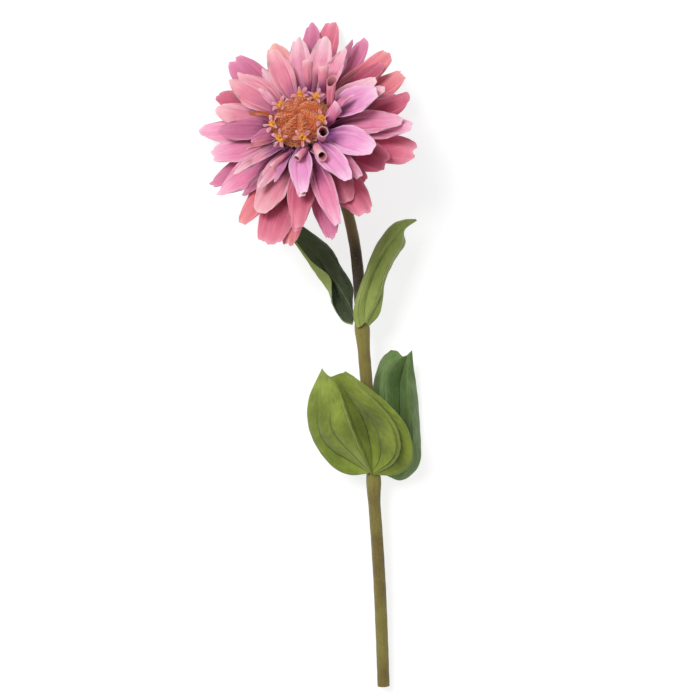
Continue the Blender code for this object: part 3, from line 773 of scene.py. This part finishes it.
def make_chaff():
    rng = np.random.default_rng(CHAFF_SEED)
    points, faces, uv = [], [], []
    for number in range(CHAFF_COUNT):
        share = math.sqrt((number + 0.5) / CHAFF_COUNT)
        radius = (DISC_RADIUS + 0.1) * math.sin(share * math.pi / 2 * 0.99)
        heading = number * GOLDEN_ANGLE
        outward = np.array([math.cos(heading), math.sin(heading), 0.0])
        swirl = np.array([-math.sin(heading), math.cos(heading), 0.0])
        step = 0.05
        level = float(dome_height(radius, heading))
        drop = float(dome_height(radius + step, heading) - level) / step
        down = outward + np.array([0, 0, drop])
        down /= np.linalg.norm(down)
        normal = np.cross(down, swirl)
        lean = (0.9 * share - 0.5) * down + 0.7 * swirl + 0.5 * rng.normal(size=3)
        lean -= normal * (lean @ normal)
        lean /= np.linalg.norm(lean)
        place = outward * radius + np.array([0, 0, level - CHAFF_SINK])
        size = rng.uniform(1.5, 2.5) * (0.6 + 0.4 * share)
        first = len(points)
        points += chaff_points(place, normal, lean, size, rng.uniform(0.15, 0.27))
        # The tint mixes random tone with painted light: bracts on the tufts' crests are lighter and
        # those in the troughs darker. Bracts near the rim turn golden. In the central dimple, lit
        # darkens both tint and height as painted shade.
        tint_and_shade = 0.45 + 0.3 * float(tuft(radius, heading)) + rng.uniform(-0.25, 0.25)
        tint_and_shade += 0.45 * float(smooth_step(0.78, 0.95, share))
        lit = float(smooth_step(0.8, 2.2, radius))
        tint_and_shade = float(np.clip(tint_and_shade, 0.02, 1.0)) * lit
        uv += [(tint_and_shade, height * lit)
               for height in (0, 0, 0, 0.4, 0.4, 0.4, 0.75, 0.75, 0.75, 1)]
        for level in (0, 3):
            for side in range(3):
                a, b = first + level + side, first + level + (side + 1) % 3
                faces.append((a, b, b + 3, a + 3))
        for side in range(3):
            faces.append((first + 6 + side, first + 6 + (side + 1) % 3, first + 9))
        faces.append((first + 2, first + 1, first))
    return finish_mesh("disc_chaff", to_head(np.array(points)), faces, np.array(uv),
                       [disc_chaff])


for piece in (make_dome(), make_chaff()):
    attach(piece, "root")
    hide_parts("disc")
print("disc has", CHAFF_COUNT, "bracts")

# %% [markdown]
# Round the edge of the disc a few true florets are open. Each is a small yellow tube that
# ends in five pink paddles. The tube is a petal rolled right round, and each paddle is a
# short petal with a broad tip.

# %% Build the star florets
# Heading, distance from the axis, tilt outwards, and spin of the star.
FLORETS = (
    (143, 10.2, 14, 10), (89, 10.4, 8, 40), (50, 11.9, 6, 0), (345, 11.6, 2, 25),
    (283, 11.4, 20, 50), (236, 12.1, 28, 5), (196, 11.2, 22, 30),
)
FLORET_FOOT = 8.6
FLORET_STAND = 3.4         # height of the star over the floret's foot
FLORET_GIRTH = 7.2         # the way round a floret's tube
LOBES = 5
LOBE_LENGTH = 3.9
LOBE_WIDTH = 1.35
TOOTH_LENGTH = 1.8
TOOTH_WIDTH = 1.3
TUBE_WALL, LOBE_WALL, TOOTH_WALL = 0.0004, 0.00025, 0.0003


def floret_yellow():
    material, build, shader = new_material("floret_yellow", 0.55, 0.3)
    ground = build.add("TexCoord")
    spots = build.noise(ground.outputs["Object"], 900.0, 3.0)
    colour = build.mix(build.ramp(spots, 0.35, 0.7), screen(248, 190, 78), screen(232, 146, 46))
    build.feed(shader.inputs["Base Color"], colour)
    shader.inputs["Subsurface Weight"].default_value = 0.2
    shader.inputs["Subsurface Radius"].default_value = (0.001, 0.0007, 0.0002)
    shader.inputs["Subsurface Scale"].default_value = 1.0
    bump(build, shader, spots, 0.00006)
    return material


yellow = floret_yellow()
floret_pink = petal_material("floret_pink", ((232, 140, 110), (240, 160, 170),
                                             (248, 186, 190), (250, 205, 205)), 0.3)


def join(pieces, name):
    """Join several pieces into the first and rename it."""
    with bpy.context.temp_override(active_object=pieces[0], selected_objects=pieces,
                                   selected_editable_objects=pieces):
        bpy.ops.object.join()
    pieces[0].name = name
    return pieces[0]


def standing(grid, direction, place):
    """Turn a part that stands on Z to a direction, and put its foot at a place."""
    turned = Vector((0, 0, 1)).rotation_difference(Vector(direction))
    return grid @ np.array(turned.to_matrix()).T + place


def make_floret(number, heading, distance, tilt, spin):
    angle, tip = math.radians(heading), math.radians(tilt)
    outward = np.array([math.cos(angle), math.sin(angle), 0.0])
    direction = outward * math.sin(tip) + np.array([0, 0, math.cos(tip)])
    foot = outward * distance + np.array([0, 0, FLORET_FOOT])
    tube = petal_grid(FLORET_STAND + 0.6, FLORET_GIRTH, 90, 90, 345, 0.98, 0.0, tip="ragged",
                      groove=0.0, ruffle=0.0, claw=FLORET_GIRTH / 2, phase=number)
    tube = tube - np.array([-FLORET_GIRTH / (2 * math.pi), 0.0, 0.0])
    parts = [sheet("floret_tube", to_head(standing(tube, direction, foot)), TUBE_WALL,
                   [yellow])]
    for lobe in range(LOBES):
        around = 360 * lobe / LOBES + spin + 11 * math.sin(3.0 * lobe + number)
        grid = petal_grid(LOBE_LENGTH, LOBE_WIDTH, 34, 0, 50, 0.8, 0.0, groove=0.05,
                          ruffle=0.05, claw=0.7, phase=lobe + number)
        grid = set_on_head(grid, around, 0.8, FLORET_STAND)
        parts.append(sheet("floret_lobe", to_head(standing(grid, direction, foot)),
                           LOBE_WALL, [floret_pink]))
        grid = petal_grid(TOOTH_LENGTH, TOOTH_WIDTH, 62, 30, 60, 0.5, 0.0, tip="pointed", groove=0.0,
                          ruffle=0.0, claw=0.9, phase=lobe)
        grid = set_on_head(grid, around + 180 / LOBES, 0.55, FLORET_STAND + 0.1)
        parts.append(sheet("floret_tooth", to_head(standing(grid, direction, foot)),
                           TOOTH_WALL, [yellow]))
    return join(parts, f"star_floret_{number}")


for number, (heading, distance, tilt, spin) in enumerate(FLORETS, start=1):
    floret = make_floret(number, heading, distance, tilt, spin)
    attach(floret, "root")
    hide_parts(f"disc_floret_{number}")
print("made", len(FLORETS), "star florets")

# %% [markdown]
# ## Stem
#
# The stem is a soft olive rod, a little thicker where leaves join, with shallow ridges and
# short down on its skin. A curve with a bevel would give a perfect pipe. Sweeping a ring
# along the same route lets the radius swell, ripple and bend with the route. The skin has
# fine speckles. Towards the flower it browns, and painted shadow lies on it in bands: dark
# near the upper leaves, lighter above them, and darker again under the head.

# %% Stem finish
def make_stem_material():
    material, build, shader = new_material("stem_skin", 0.8, 0.2)
    place = build.add("UVMap", uv_map="shape")
    split = build.add("SeparateXYZ")
    build.feed(split.inputs[0], place.outputs["UV"])
    ground = build.add("TexCoord")
    spot = ground.outputs["Object"]
    cloud = build.noise(spot, 55.0, 3.0)
    colour = build.mix(build.ramp(cloud, 0.35, 0.68), screen(134, 124, 62),
                       screen(114, 98, 54))
    # Painted shadow in brown tones along the stem: a dark band near the upper leaves, a lighter
    # stretch, then a darker band under the head, over the stem's own browning.
    brown_and_shadow_along = build.math("MULTIPLY_ADD", cloud, 0.08, build.math("ADD", split.outputs["Y"], -0.04))
    colour = build.mix(build.ramp(brown_and_shadow_along, 0.66, 0.71), colour, screen(64, 54, 44))
    colour = build.mix(build.ramp(brown_and_shadow_along, 0.765, 0.82), colour, screen(124, 106, 72))
    colour = build.mix(build.ramp(brown_and_shadow_along, 0.85, 0.9), colour, screen(98, 80, 62))
    lines = place_group(build, fibres, Across=26.0, Along=9.0)
    colour = build.mix(build.ramp(lines.outputs["Fine"], 0.45, 0.7, 0.0, 0.35), colour,
                       screen(84, 76, 40))
    fuzz = build.noise(spot, 1800.0, 3.0, 0.7)
    colour = build.mix(build.ramp(fuzz, 0.55, 0.72, 0.0, 0.45), colour, screen(178, 168, 110))
    colour = build.mix(build.ramp(fuzz, 0.4, 0.28, 0.0, 0.5), colour, screen(70, 58, 34))
    build.feed(shader.inputs["Base Color"], colour)
    shader.inputs["Sheen Weight"].default_value = 0.25
    shader.inputs["Sheen Roughness"].default_value = 0.5
    bump(build, shader, fuzz, 0.00022)
    return material


def make_pith_material():
    material, build, shader = new_material("stem_pith", 0.85, 0.2)
    ground = build.add("TexCoord")
    grain = build.noise(ground.outputs["Object"], 1500.0, 3.0)
    build.feed(shader.inputs["Base Color"],
               build.mix(build.ramp(grain, 0.35, 0.7), screen(176, 178, 124),
                         screen(128, 130, 74)))
    bump(build, shader, grain, 0.0001)
    return material


# %% Build the stem
STEM_ROUTE = (
    (16.0, -160.7, 3.0), (15.2, -137.0, 4.4), (14.2, -113.0, 6.0), (12.9, -91.0, 7.5),
    (11.5, -70.8, 9.0), (11.1, -58.0, 9.8), (9.2, -32.0, 11.4), (7.0, -5.7, 13.0),
    (5.8, 9.5, 14.0), (3.9, 34.9, 15.3), (1.6, 52.8, 16.2), (-3.0, 71.1, 17.2),
    (-8.6, 82.0, 18.2),
)
STEM_RADIUS = 2.9
NECK_RADIUS = 2.5
NODE_SWELLING = 0.65
NODE_LENGTH = 6.0
LEAF_NODES = (-62.7, 9.5)
STEM_STEPS, STEM_SIDES = 420, 40
STEM_SHARP = 50
NECK_TAPER = 70.0          # how far above the upper leaves the stem has thinned to its neck
CALYX_BOTTOM = -10.5


def stem_radius(y):
    share = np.clip((y - LEAF_NODES[1]) / NECK_TAPER, 0.0, 1.0)
    radius = STEM_RADIUS + (NECK_RADIUS - STEM_RADIUS) * share
    for node in LEAF_NODES:
        radius = radius + NODE_SWELLING * np.exp(-((y - node) / NODE_LENGTH) ** 2)
    return radius


def ring_frames(line):
    """Two directions across a route at each of its points, carried along without a twist."""
    ahead = np.gradient(line, axis=0)
    ahead /= np.linalg.norm(ahead, axis=1, keepdims=True)
    side = np.zeros_like(line)
    side[0] = np.cross(ahead[0], (0.0, 0.0, 1.0))
    for index in range(1, len(line)):
        side[index] = side[index - 1] - ahead[index] * (side[index - 1] @ ahead[index])
        side[index] /= np.linalg.norm(side[index])
    side[0] /= np.linalg.norm(side[0])
    return side, np.cross(ahead, side)


def make_stem():
    top = np.array(DRAWN_HEAD) + axis * (CALYX_BOTTOM + 0.2)
    places = list(STEM_ROUTE) + [top - axis * 6.7, top - axis * 2.7, top]
    line = smooth_route(places, STEM_STEPS)
    side, rise = ring_frames(line)
    heading = np.linspace(0, 2 * math.pi, STEM_SIDES, endpoint=False)[None, :]
    run = np.append(0.0, np.cumsum(np.linalg.norm(np.diff(line, axis=0), axis=1)))
    length = (run / run[-1])[:, None]
    radius = stem_radius(line[:, 1])[:, None]
    radius = radius + 0.07 * np.cos(9 * heading + 8 * length)
    radius = radius + 0.05 * np.sin(170 * length + 2 * heading) * np.sin(61 * length)
    grid = (line[:, None, :] + side[:, None, :] * (radius * np.cos(heading))[..., None]
            + rise[:, None, :] * (radius * np.sin(heading))[..., None])
    inner = line[0] + (grid[0] - line[0]) * 0.8
    hollow = line[0] + (grid[0] - line[0]) * 0.3 + (line[1] - line[0]) * 0.6
    rows = np.concatenate([hollow[None], inner[None], grid])
    index = np.arange(len(rows) * STEM_SIDES).reshape(-1, STEM_SIDES)
    beside = np.roll(index, -1, axis=1)
    faces = np.stack([index[:-1], beside[:-1], beside[1:], index[1:]], -1).reshape(-1, 4)
    caps = [index[0][::-1].tolist(), index[-1].tolist()]
    faces = faces.tolist() + caps
    along = np.concatenate([[0.0, 0.0], length[:, 0]])
    u = np.broadcast_to(np.linspace(0, 1, STEM_SIDES, endpoint=False), rows.shape[:2])
    v = np.broadcast_to(along[:, None], rows.shape[:2])
    uv = np.stack([u, v], -1).reshape(-1, 2)
    slots = np.zeros(len(faces), dtype=np.int32)
    slots[:STEM_SIDES * 2] = 1      # the pith at the cut end: two rings and the cap
    slots[-2] = 1
    return finish_mesh("stem_skin", to_frame(rows.reshape(-1, 3)), faces, uv,
                       [make_stem_material(), make_pith_material()], slots, sharp=STEM_SHARP)


stem = make_stem()
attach(stem, "root")
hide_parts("stem")
print("stem has", len(stem.data.polygons), "faces")

# %% [markdown]
# ## Leaves
#
# Zinnia leaves have no stalk. They clasp the stem in opposite pairs, and their main veins
# arch side by side from the base to the tip. One leaf of each pair shows its light green
# underside and the other its dark face, and the dark face of the upper left leaf is painted
# darker still as shade. Each leaf is lofted across a few rails that run from base to tip
# along its edges, veins and folds, because a fold or a rolled margin is easy to see and to
# change in a rail. The blade swells softly between its veins, and painted shade darkens the
# creases beside them.

# %% Leaf finish
def make_leaf_colour():
    inputs = [("Light", COLOUR, (1, 1, 1, 1)), ("Dark", COLOUR, (0, 0, 0, 1)),
              ("Vein", COLOUR, (1, 1, 1, 1)), ("Spaces", NUMBER, 6.0),
              ("Midrib", NUMBER, 0.5), ("Vein strength", NUMBER, 0.3),
              ("Crease", NUMBER, 0.0)]
    tree, build, entry, leave = new_group(
        "leaf_colour", inputs, [("Color", COLOUR), ("Height", NUMBER)])
    place = build.add("UVMap", uv_map="shape")
    split = build.add("SeparateXYZ")
    build.feed(split.inputs[0], place.outputs["UV"])
    across, along = split.outputs["X"], split.outputs["Y"]
    ground = build.add("TexCoord")
    spot = ground.outputs["Object"]
    lines = place_group(build, fibres, Across=16.0, Along=6.0)
    cloud = build.noise(spot, 60.0, 3.0)
    mixed = build.math("MULTIPLY_ADD", lines.outputs["Fine"], 0.35,
                       build.math("MULTIPLY", cloud, 0.7))
    colour = build.mix(build.ramp(mixed, 0.34, 0.7), entry.outputs["Light"],
                       entry.outputs["Dark"])
    phase = build.math("FRACT", build.math("MULTIPLY_ADD", across, entry.outputs["Spaces"], 0.5))
    gap = build.math("ABSOLUTE", build.math("SUBTRACT", phase, 0.5))
    near = build.math("MULTIPLY", build.ramp(gap, 0.0, 0.12, 1.0, 0.0),
                      entry.outputs["Vein strength"])
    from_middle = build.math("ABSOLUTE", build.math("SUBTRACT", across,
                                                    entry.outputs["Midrib"]))
    middle = build.ramp(from_middle, 0.0, 0.02, 0.9, 0.0)
    fade = build.ramp(along, 0.4, 0.8, 1.0, 0.1)
    # Painted shade: the creases along the veins and folds are darkened towards a near-black green,
    # fading towards the tip.
    crease_shade = build.math("MULTIPLY", build.ramp(gap, 0.0, 0.16, 1.0, 0.0),
                        entry.outputs["Crease"])
    colour = build.mix(build.math("MULTIPLY", crease_shade, fade), colour,
                       build.mix(0.6, entry.outputs["Dark"], (0.01, 0.02, 0.005, 1.0)))
    vein = build.math("MULTIPLY", build.math("MAXIMUM", near, middle), fade)
    colour = build.mix(vein, colour, entry.outputs["Vein"])
    half = build.math("ABSOLUTE", build.math("MULTIPLY_ADD", across, 2.0, -1.0))
    colour = build.mix(build.ramp(half, 0.97, 1.0, 0.0, 0.5), colour, entry.outputs["Vein"])
    fine = build.noise(spot, 2200.0, 3.0, 0.65)
    colour = build.mix(build.ramp(fine, 0.6, 0.4, 0.0, 0.22), colour, entry.outputs["Dark"])
    build.feed(leave.inputs["Color"], colour)
    height = build.math("ADD", fine, lines.outputs["Fine"])
    groove = build.math("MULTIPLY", build.ramp(gap, 0.0, 0.1, 1.0, 0.0), fade)
    build.feed(leave.inputs["Height"], build.math("MULTIPLY_ADD", groove, -3.0, height))
    return tree


leaf_colour = make_leaf_colour()


def leaf_material(name, light, dark, vein, spaces=6.0, midrib=0.5, strength=0.2, crease_shade=0.0):
    material, build, shader = new_material(name, 0.6, 0.3)
    group = place_group(build, leaf_colour, Light=screen(*light), Dark=screen(*dark),
                        Vein=screen(*vein), Spaces=spaces, Midrib=midrib,
                        Vein_strength=strength, Crease=crease_shade)
    build.feed(shader.inputs["Base Color"], group.outputs["Color"])
    shader.inputs["Subsurface Weight"].default_value = 0.15
    shader.inputs["Subsurface Radius"].default_value = (0.0009, 0.0016, 0.0004)
    shader.inputs["Subsurface Scale"].default_value = 1.0
    shader.inputs["Sheen Weight"].default_value = 0.15
    shader.inputs["Sheen Roughness"].default_value = 0.5
    bump(build, shader, group.outputs["Height"], 0.00016)
    return material


# %% Build the leaves
LEAF_ROWS = 90
RAIL_STEPS = 8             # columns of the blade between two rails
LEAF_THICKNESS = 0.0005
# Each leaf: its colours (light, dark, vein) above, its colours below, the number of its
# midrib rail, how strongly pale veins show and how strongly painted shade darkens its creases,
# how far the blade swells between its veins in mm, and its rails from left edge to right edge,
# each from base to tip in mm.
BRIGHT = ((150, 164, 64), (106, 120, 40), (176, 184, 104))
FRESH = ((152, 166, 84), (124, 138, 64), (190, 200, 134))
DARK = ((128, 154, 92), (84, 108, 52), (158, 180, 124))
# The next colours are the dark face painted darker with shade, for the upper left leaf, which faces
# away from the light.
DARK_IN_SHADE = ((80, 94, 58), (56, 66, 42), (150, 160, 124))
PALE_UNDER = ((152, 168, 82), (124, 140, 62), (180, 192, 122))
LEAVES = {
    "leaf_lower_front": (BRIGHT, DARK, 3, 0.0, 0.5, 0.45, (
        ((8, -58.5, 14), (0, -59, 14), (-8, -55, 15.5), (-16, -45.5, 17.5),
         (-19.5, -35, 19.5), (-19, -22, 22.5), (-13, -8.5, 25)),
        ((9, -58, 14.2), (0.5, -52.5, 16), (-8, -47, 19), (-13.5, -40, 21.5),
         (-15, -31.5, 24), (-14, -21.5, 26), (-12.5, -9.5, 26.5)),
        ((9.5, -57.5, 14.6), (2, -49.5, 20), (-4.5, -42.5, 24), (-8.5, -36, 27),
         (-9, -27, 29), (-10, -18.5, 29.5), (-12, -10, 28)),
        ((10, -58.5, 15.5), (5, -48, 23), (1, -38, 28), (-2.5, -29, 31.5),
         (-4.5, -22, 32), (-7.5, -16, 31), (-10, -12, 29)),
        ((10.5, -58, 14.2), (6.5, -48, 18.5), (2.5, -38, 22.5), (-1, -28.5, 26),
         (-3.5, -21.5, 27.5), (-6, -15.5, 28), (-9, -12.5, 27.5)),
        ((10.5, -58, 14), (10, -47.5, 14.5), (8, -38, 16), (5, -30, 20),
         (0.5, -23, 23), (-3.5, -17, 25.5), (-7.5, -12, 26.5)),
        ((11, -58, 14), (14.5, -50, 15.5), (14, -41.5, 19.5), (10.5, -32.5, 23.5),
         (5, -25.5, 27), (0, -18.5, 29), (-5, -11, 29)),
        ((11, -58.5, 14.5), (19, -52.5, 20.5), (22, -46.5, 25), (21, -39, 28.5),
         (17, -31.5, 31), (9, -22.5, 33), (-3, -10.5, 32)),
        ((11, -59, 14.2), (20, -54, 16), (23.5, -47.5, 19.5), (22.5, -38.5, 23),
         (18.5, -31, 26), (10, -22, 29.5), (-2, -10, 30.5)),
        ((11.5, -59, 14), (22.5, -59, 13), (29, -53.5, 16.5), (29.5, -45.5, 20.5),
         (26, -35, 24), (17, -24.5, 28), (1.5, -12, 30)))),
    "leaf_lower_back": (DARK, PALE_UNDER, 2, 0.1, 0.25, 0.3, (
        ((14.5, -59, 5.5), (11, -50, 3.5), (10.5, -38.5, 2.5), (11, -26.5, 2.5),
         (11.5, -16.5, 3), (14.5, -5, 4.5), (19.5, 0, 7)),
        ((14.5, -59, 6), (13.5, -50, 6), (14, -38, 5.5), (14, -26, 6),
         (14.5, -15, 7), (17, -6, 8), (22.5, -0.5, 9)),
        ((15, -59, 6.5), (16, -50.5, 7), (17, -39, 7), (17, -26.5, 8),
         (17, -16, 9), (20, -7.5, 9.5), (25, -3, 10)),
        ((15.5, -59.5, 5.5), (21, -52.5, 4), (23.5, -41, 3), (24, -28, 2.5),
         (24, -16.5, 3), (25.5, -8.5, 5), (27, -2.5, 9)),
        ((16, -59.5, 5), (25.5, -57, 6.5), (29, -45, 9), (28.5, -28.5, 9.5),
         (28, -16.5, 9), (27.5, -8.5, 8), (28.5, -1, 10)),
        ((16.5, -59.5, 4), (25, -62.5, 2), (32.5, -55.5, 1.5), (34, -44, 2),
         (33, -28, 2.5), (30.5, -10.5, 5), (29.5, 0, 10.5)))),
    "leaf_upper_left": (DARK_IN_SHADE, PALE_UNDER, 3, 0.05, 0.1, 0.25, (
        ((1.2, 12.5, 14), (-3.5, 14, 14.5), (-7.5, 21, 15.5), (-9, 27.5, 18),
         (-10, 35, 17), (-18.5, 42.5, 11), (-26, 52, 7)),
        ((1.2, 12, 13.5), (-3.5, 14, 13.5), (-8, 21, 13), (-10, 27.5, 12.5),
         (-15, 34.5, 11.5), (-21, 43.5, 9), (-27, 52, 6.5)),
        ((1.5, 13.5, 13.5), (-2, 18, 12.5), (-5, 23.5, 11.5), (-7.5, 30, 11),
         (-12, 37.5, 10), (-17.5, 45.5, 8), (-26, 54, 5.5)),
        ((1.5, 16, 14.5), (-0.5, 21.5, 14), (-3.5, 27, 13), (-6.5, 31.5, 12.5),
         (-10.5, 37.5, 11), (-16, 47, 8.5), (-26, 56.5, 5)),
        ((1.3, 20, 13.5), (0.5, 25, 12), (-1.5, 31.5, 10.5), (-4.5, 36.5, 9),
         (-7, 42.5, 8), (-13.5, 50, 6.5), (-25.5, 58.5, 4)),
        ((1, 23, 12.5), (1.5, 29, 10.5), (-1, 34.5, 8.5), (-4.5, 40.5, 7),
         (-8, 46.5, 5.5), (-13.5, 52.5, 4), (-25, 61, 3)))),
    "leaf_upper_right": (FRESH, DARK, 3, 0.3, 0.15, 0.25, (
        ((3.2, 10.5, 18), (1.5, 16, 17.8), (2.5, 24, 18.5), (7.5, 36.5, 20),
         (12.5, 49.5, 21), (19, 58.5, 22), (25.5, 61, 21.5), (31, 61.5, 20)),
        ((5, 11, 18.8), (4, 18.5, 20.5), (5.5, 26, 22.5), (10, 37.5, 24.5),
         (15, 47.5, 25.5), (20.5, 55.5, 25), (25.5, 59.5, 23), (31, 61, 20.3)),
        ((6.5, 12.5, 19), (7, 19, 20), (8, 25.5, 21), (11.5, 36, 22.5),
         (17, 46.5, 23.5), (22, 53.5, 23.5), (26, 58.5, 22.5), (31, 61, 20.5)),
        ((7.5, 13, 19.5), (11, 20.5, 21.5), (14, 27.5, 23.5), (16, 34.5, 25),
         (19, 42.5, 24.5), (23.5, 50, 23), (25.5, 57.5, 22), (31, 61, 20.5)),
        ((8, 12, 18.5), (11.5, 19, 19.5), (14.5, 26.5, 20.5), (16.5, 33.5, 21.5),
         (20, 41.5, 20.5), (24.5, 49.5, 19.5), (25.5, 56.5, 20), (31, 61, 20.3)),
        ((9.2, 11.5, 17.8), (13.5, 16.5, 18), (15.5, 25, 18.5), (17, 34.5, 19),
         (21, 43.5, 17.5), (26, 50.5, 17), (25, 56, 18.5), (31.5, 61, 20)))),
}


def leaf_grid(rails, swell, phase):
    lengthwise = np.array([smooth_route(rail, LEAF_ROWS) for rail in rails])
    steps = RAIL_STEPS * (len(rails) - 1)
    grid = np.array([smooth_route(lengthwise[:, row], steps, 0.7)
                     for row in range(LEAF_ROWS + 1)])
    v = np.linspace(0, 1, LEAF_ROWS + 1)[:, None]
    u = np.linspace(0, 1, steps + 1)[None, :]
    spread = smooth_step(0.02, 0.2, v) * (1 - smooth_step(0.75, 1.0, v))
    quilt = swell * np.abs(np.sin(math.pi * (len(rails) - 1) * u)) ** 0.8
    wave = np.abs(2 * u - 1) ** 4 * np.sin(13 * v + phase + 2 * np.sign(u - 0.5))
    small = 0.12 * np.sin(41 * v + 9 * u + phase) * np.sin(17 * u + 23 * v)
    lift = spread * (quilt + 0.35 * wave + small)
    normal = -normals_of(grid)
    return grid + normal * lift[..., None]


def make_leaf(name, number):
    face, back, midrib, strength, crease_shade, swell, rails = LEAVES[name]
    spaces = len(rails) - 1
    grid = leaf_grid(rails, swell, 1.3 * number)
    finishes = [leaf_material(f"{name}_{side}", *colours, spaces, 1 - midrib / spaces,
                              strength, crease_shade)
                for side, colours in (("face", face), ("back", back))]
    return sheet(name.replace("leaf_", "blade_"), to_frame(grid)[:, ::-1], LEAF_THICKNESS,
                 finishes)


for number, name in enumerate(LEAVES):
    blade = make_leaf(name, number)
    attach(blade, "root")
    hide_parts(name)
print("made", len(LEAVES), "leaves")

# %% [markdown]
# ## Calyx and receptacle
#
# Under the petals sits a cup of green scales in overlapping rows. The camera hardly sees
# it, but other views do. Each scale is a short broad sheet pressed against the plain cup.
# The receptacle inside keeps its solid shape and only gets a skin.

# %% Build the calyx and dress the receptacle
def make_green_skin(name, light, dark):
    material, build, shader = new_material(name, 0.7, 0.3)
    ground = build.add("TexCoord")
    spot = ground.outputs["Object"]
    grain = build.noise(spot, 700.0, 4.0, 0.6)
    cloud = build.noise(spot, 130.0, 2.0)
    colour = build.mix(build.ramp(cloud, 0.35, 0.65), screen(*light), screen(*dark))
    colour = build.mix(build.ramp(grain, 0.4, 0.7, 0.0, 0.4), colour, screen(*dark))
    build.feed(shader.inputs["Base Color"], colour)
    bump(build, shader, grain, 0.00015)
    return material


calyx_skin = make_green_skin("calyx_skin", (112, 132, 66), (78, 96, 44))
core_skin = make_green_skin("core_skin", (150, 148, 96), (116, 104, 62))
scale_green = leaf_material("scale_green", (120, 140, 72), (84, 104, 48), (62, 66, 40))
SCALE_ROWS = 3
SCALES_IN_ROW = 13
SCALE_LENGTH = 5.2
SCALE_WIDTH = 5.0
SCALE_THICKNESS = 0.0005


def make_scales():
    scales = []
    for row in range(SCALE_ROWS):
        for number in range(SCALES_IN_ROW):
            heading = 360 * (number + 0.5 * (row % 2)) / SCALES_IN_ROW
            grid = petal_grid(SCALE_LENGTH, SCALE_WIDTH, 46 - 4 * row, 70 - 8 * row, 46, 0.7,
                              0.0, groove=0.05, ruffle=0.1, claw=3.6, phase=number)
            grid = set_on_head(grid, heading, 5.6 + 1.6 * row, -9.9 + 1.5 * row)
            scales.append(sheet("scale", to_head(grid), SCALE_THICKNESS, [scale_green]))
    return join(scales, "calyx_scales")


scales = make_scales()
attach(scales, "root")
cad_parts["calyx"].data.materials.clear()
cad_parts["calyx"].data.materials.append(calyx_skin)
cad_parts["receptacle"].data.materials.clear()
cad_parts["receptacle"].data.materials.append(core_skin)
print("calyx has", SCALE_ROWS * SCALES_IN_ROW, "scales")

# %% [markdown]
# ## Stage, light and camera
#
# The flower lies on a pale, plain surface. A wide soft light from the upper left gives the
# petals their shape, and a weaker one from the right keeps the shadows open. The camera
# hangs straight above, because the flower lies down.

# %% Floor
FLOOR_SIZE = 4.0
FLOOR_LEVEL = -0.0007      # just under the lowest point of the fine pieces
FLOOR_WHITE = (0.35, 0.35, 0.35, 1.0)
FLOOR_GLOW = 2.15          # a lit table, so that the shadows on it stay faint


def make_floor():
    bpy.ops.mesh.primitive_plane_add(size=FLOOR_SIZE, location=(0, 0, FLOOR_LEVEL))
    floor = bpy.context.object
    floor.name = "floor"
    material, _, shader = new_material("floor_white", 0.9, 0.1)
    shader.inputs["Base Color"].default_value = FLOOR_WHITE
    shader.inputs["Emission Color"].default_value = FLOOR_WHITE
    shader.inputs["Emission Strength"].default_value = FLOOR_GLOW
    floor.data.materials.append(material)
    return floor


make_floor()

# %% Lights and world
def add_light(name, place, size, power):
    """A round soft light that looks at the middle of the flower."""
    data = bpy.data.lights.new(name, "AREA")
    data.shape = "DISK"
    data.size = size
    data.energy = power
    light = bpy.data.objects.new(name, data)
    light.location = place
    light.rotation_euler = (-Vector(place)).to_track_quat("-Z", "Y").to_euler()
    bpy.context.scene.collection.objects.link(light)
    return light


WORLD_STRENGTH = 0.37
add_light("key", (-0.75, 0.75, 1.5), 0.9, 25.5)
add_light("fill", (1.1, -0.5, 1.2), 1.4, 3.0)
world = bpy.data.worlds.new("studio")
world.use_nodes = True
world.node_tree.nodes["Background"].inputs["Color"].default_value = (1.0, 1.0, 1.0, 1.0)
world.node_tree.nodes["Background"].inputs["Strength"].default_value = WORLD_STRENGTH
bpy.context.scene.world = world
bpy.context.scene.view_settings.view_transform = "Standard"

# %% Camera
VIEW_WIDTH = 0.336           # width of the surface that the picture shows, in metres
LENS = 100.0
SENSOR = 36.0
camera_data = bpy.data.cameras.new("above")
camera_data.lens = LENS
camera_data.sensor_width = SENSOR
camera = bpy.data.objects.new("above", camera_data)
camera.location = (shift[0], shift[1], shift[2] + VIEW_WIDTH * LENS / SENSOR)
bpy.context.scene.collection.objects.link(camera)
bpy.context.scene.camera = camera
print("camera at", tuple(round(value, 4) for value in camera.location))
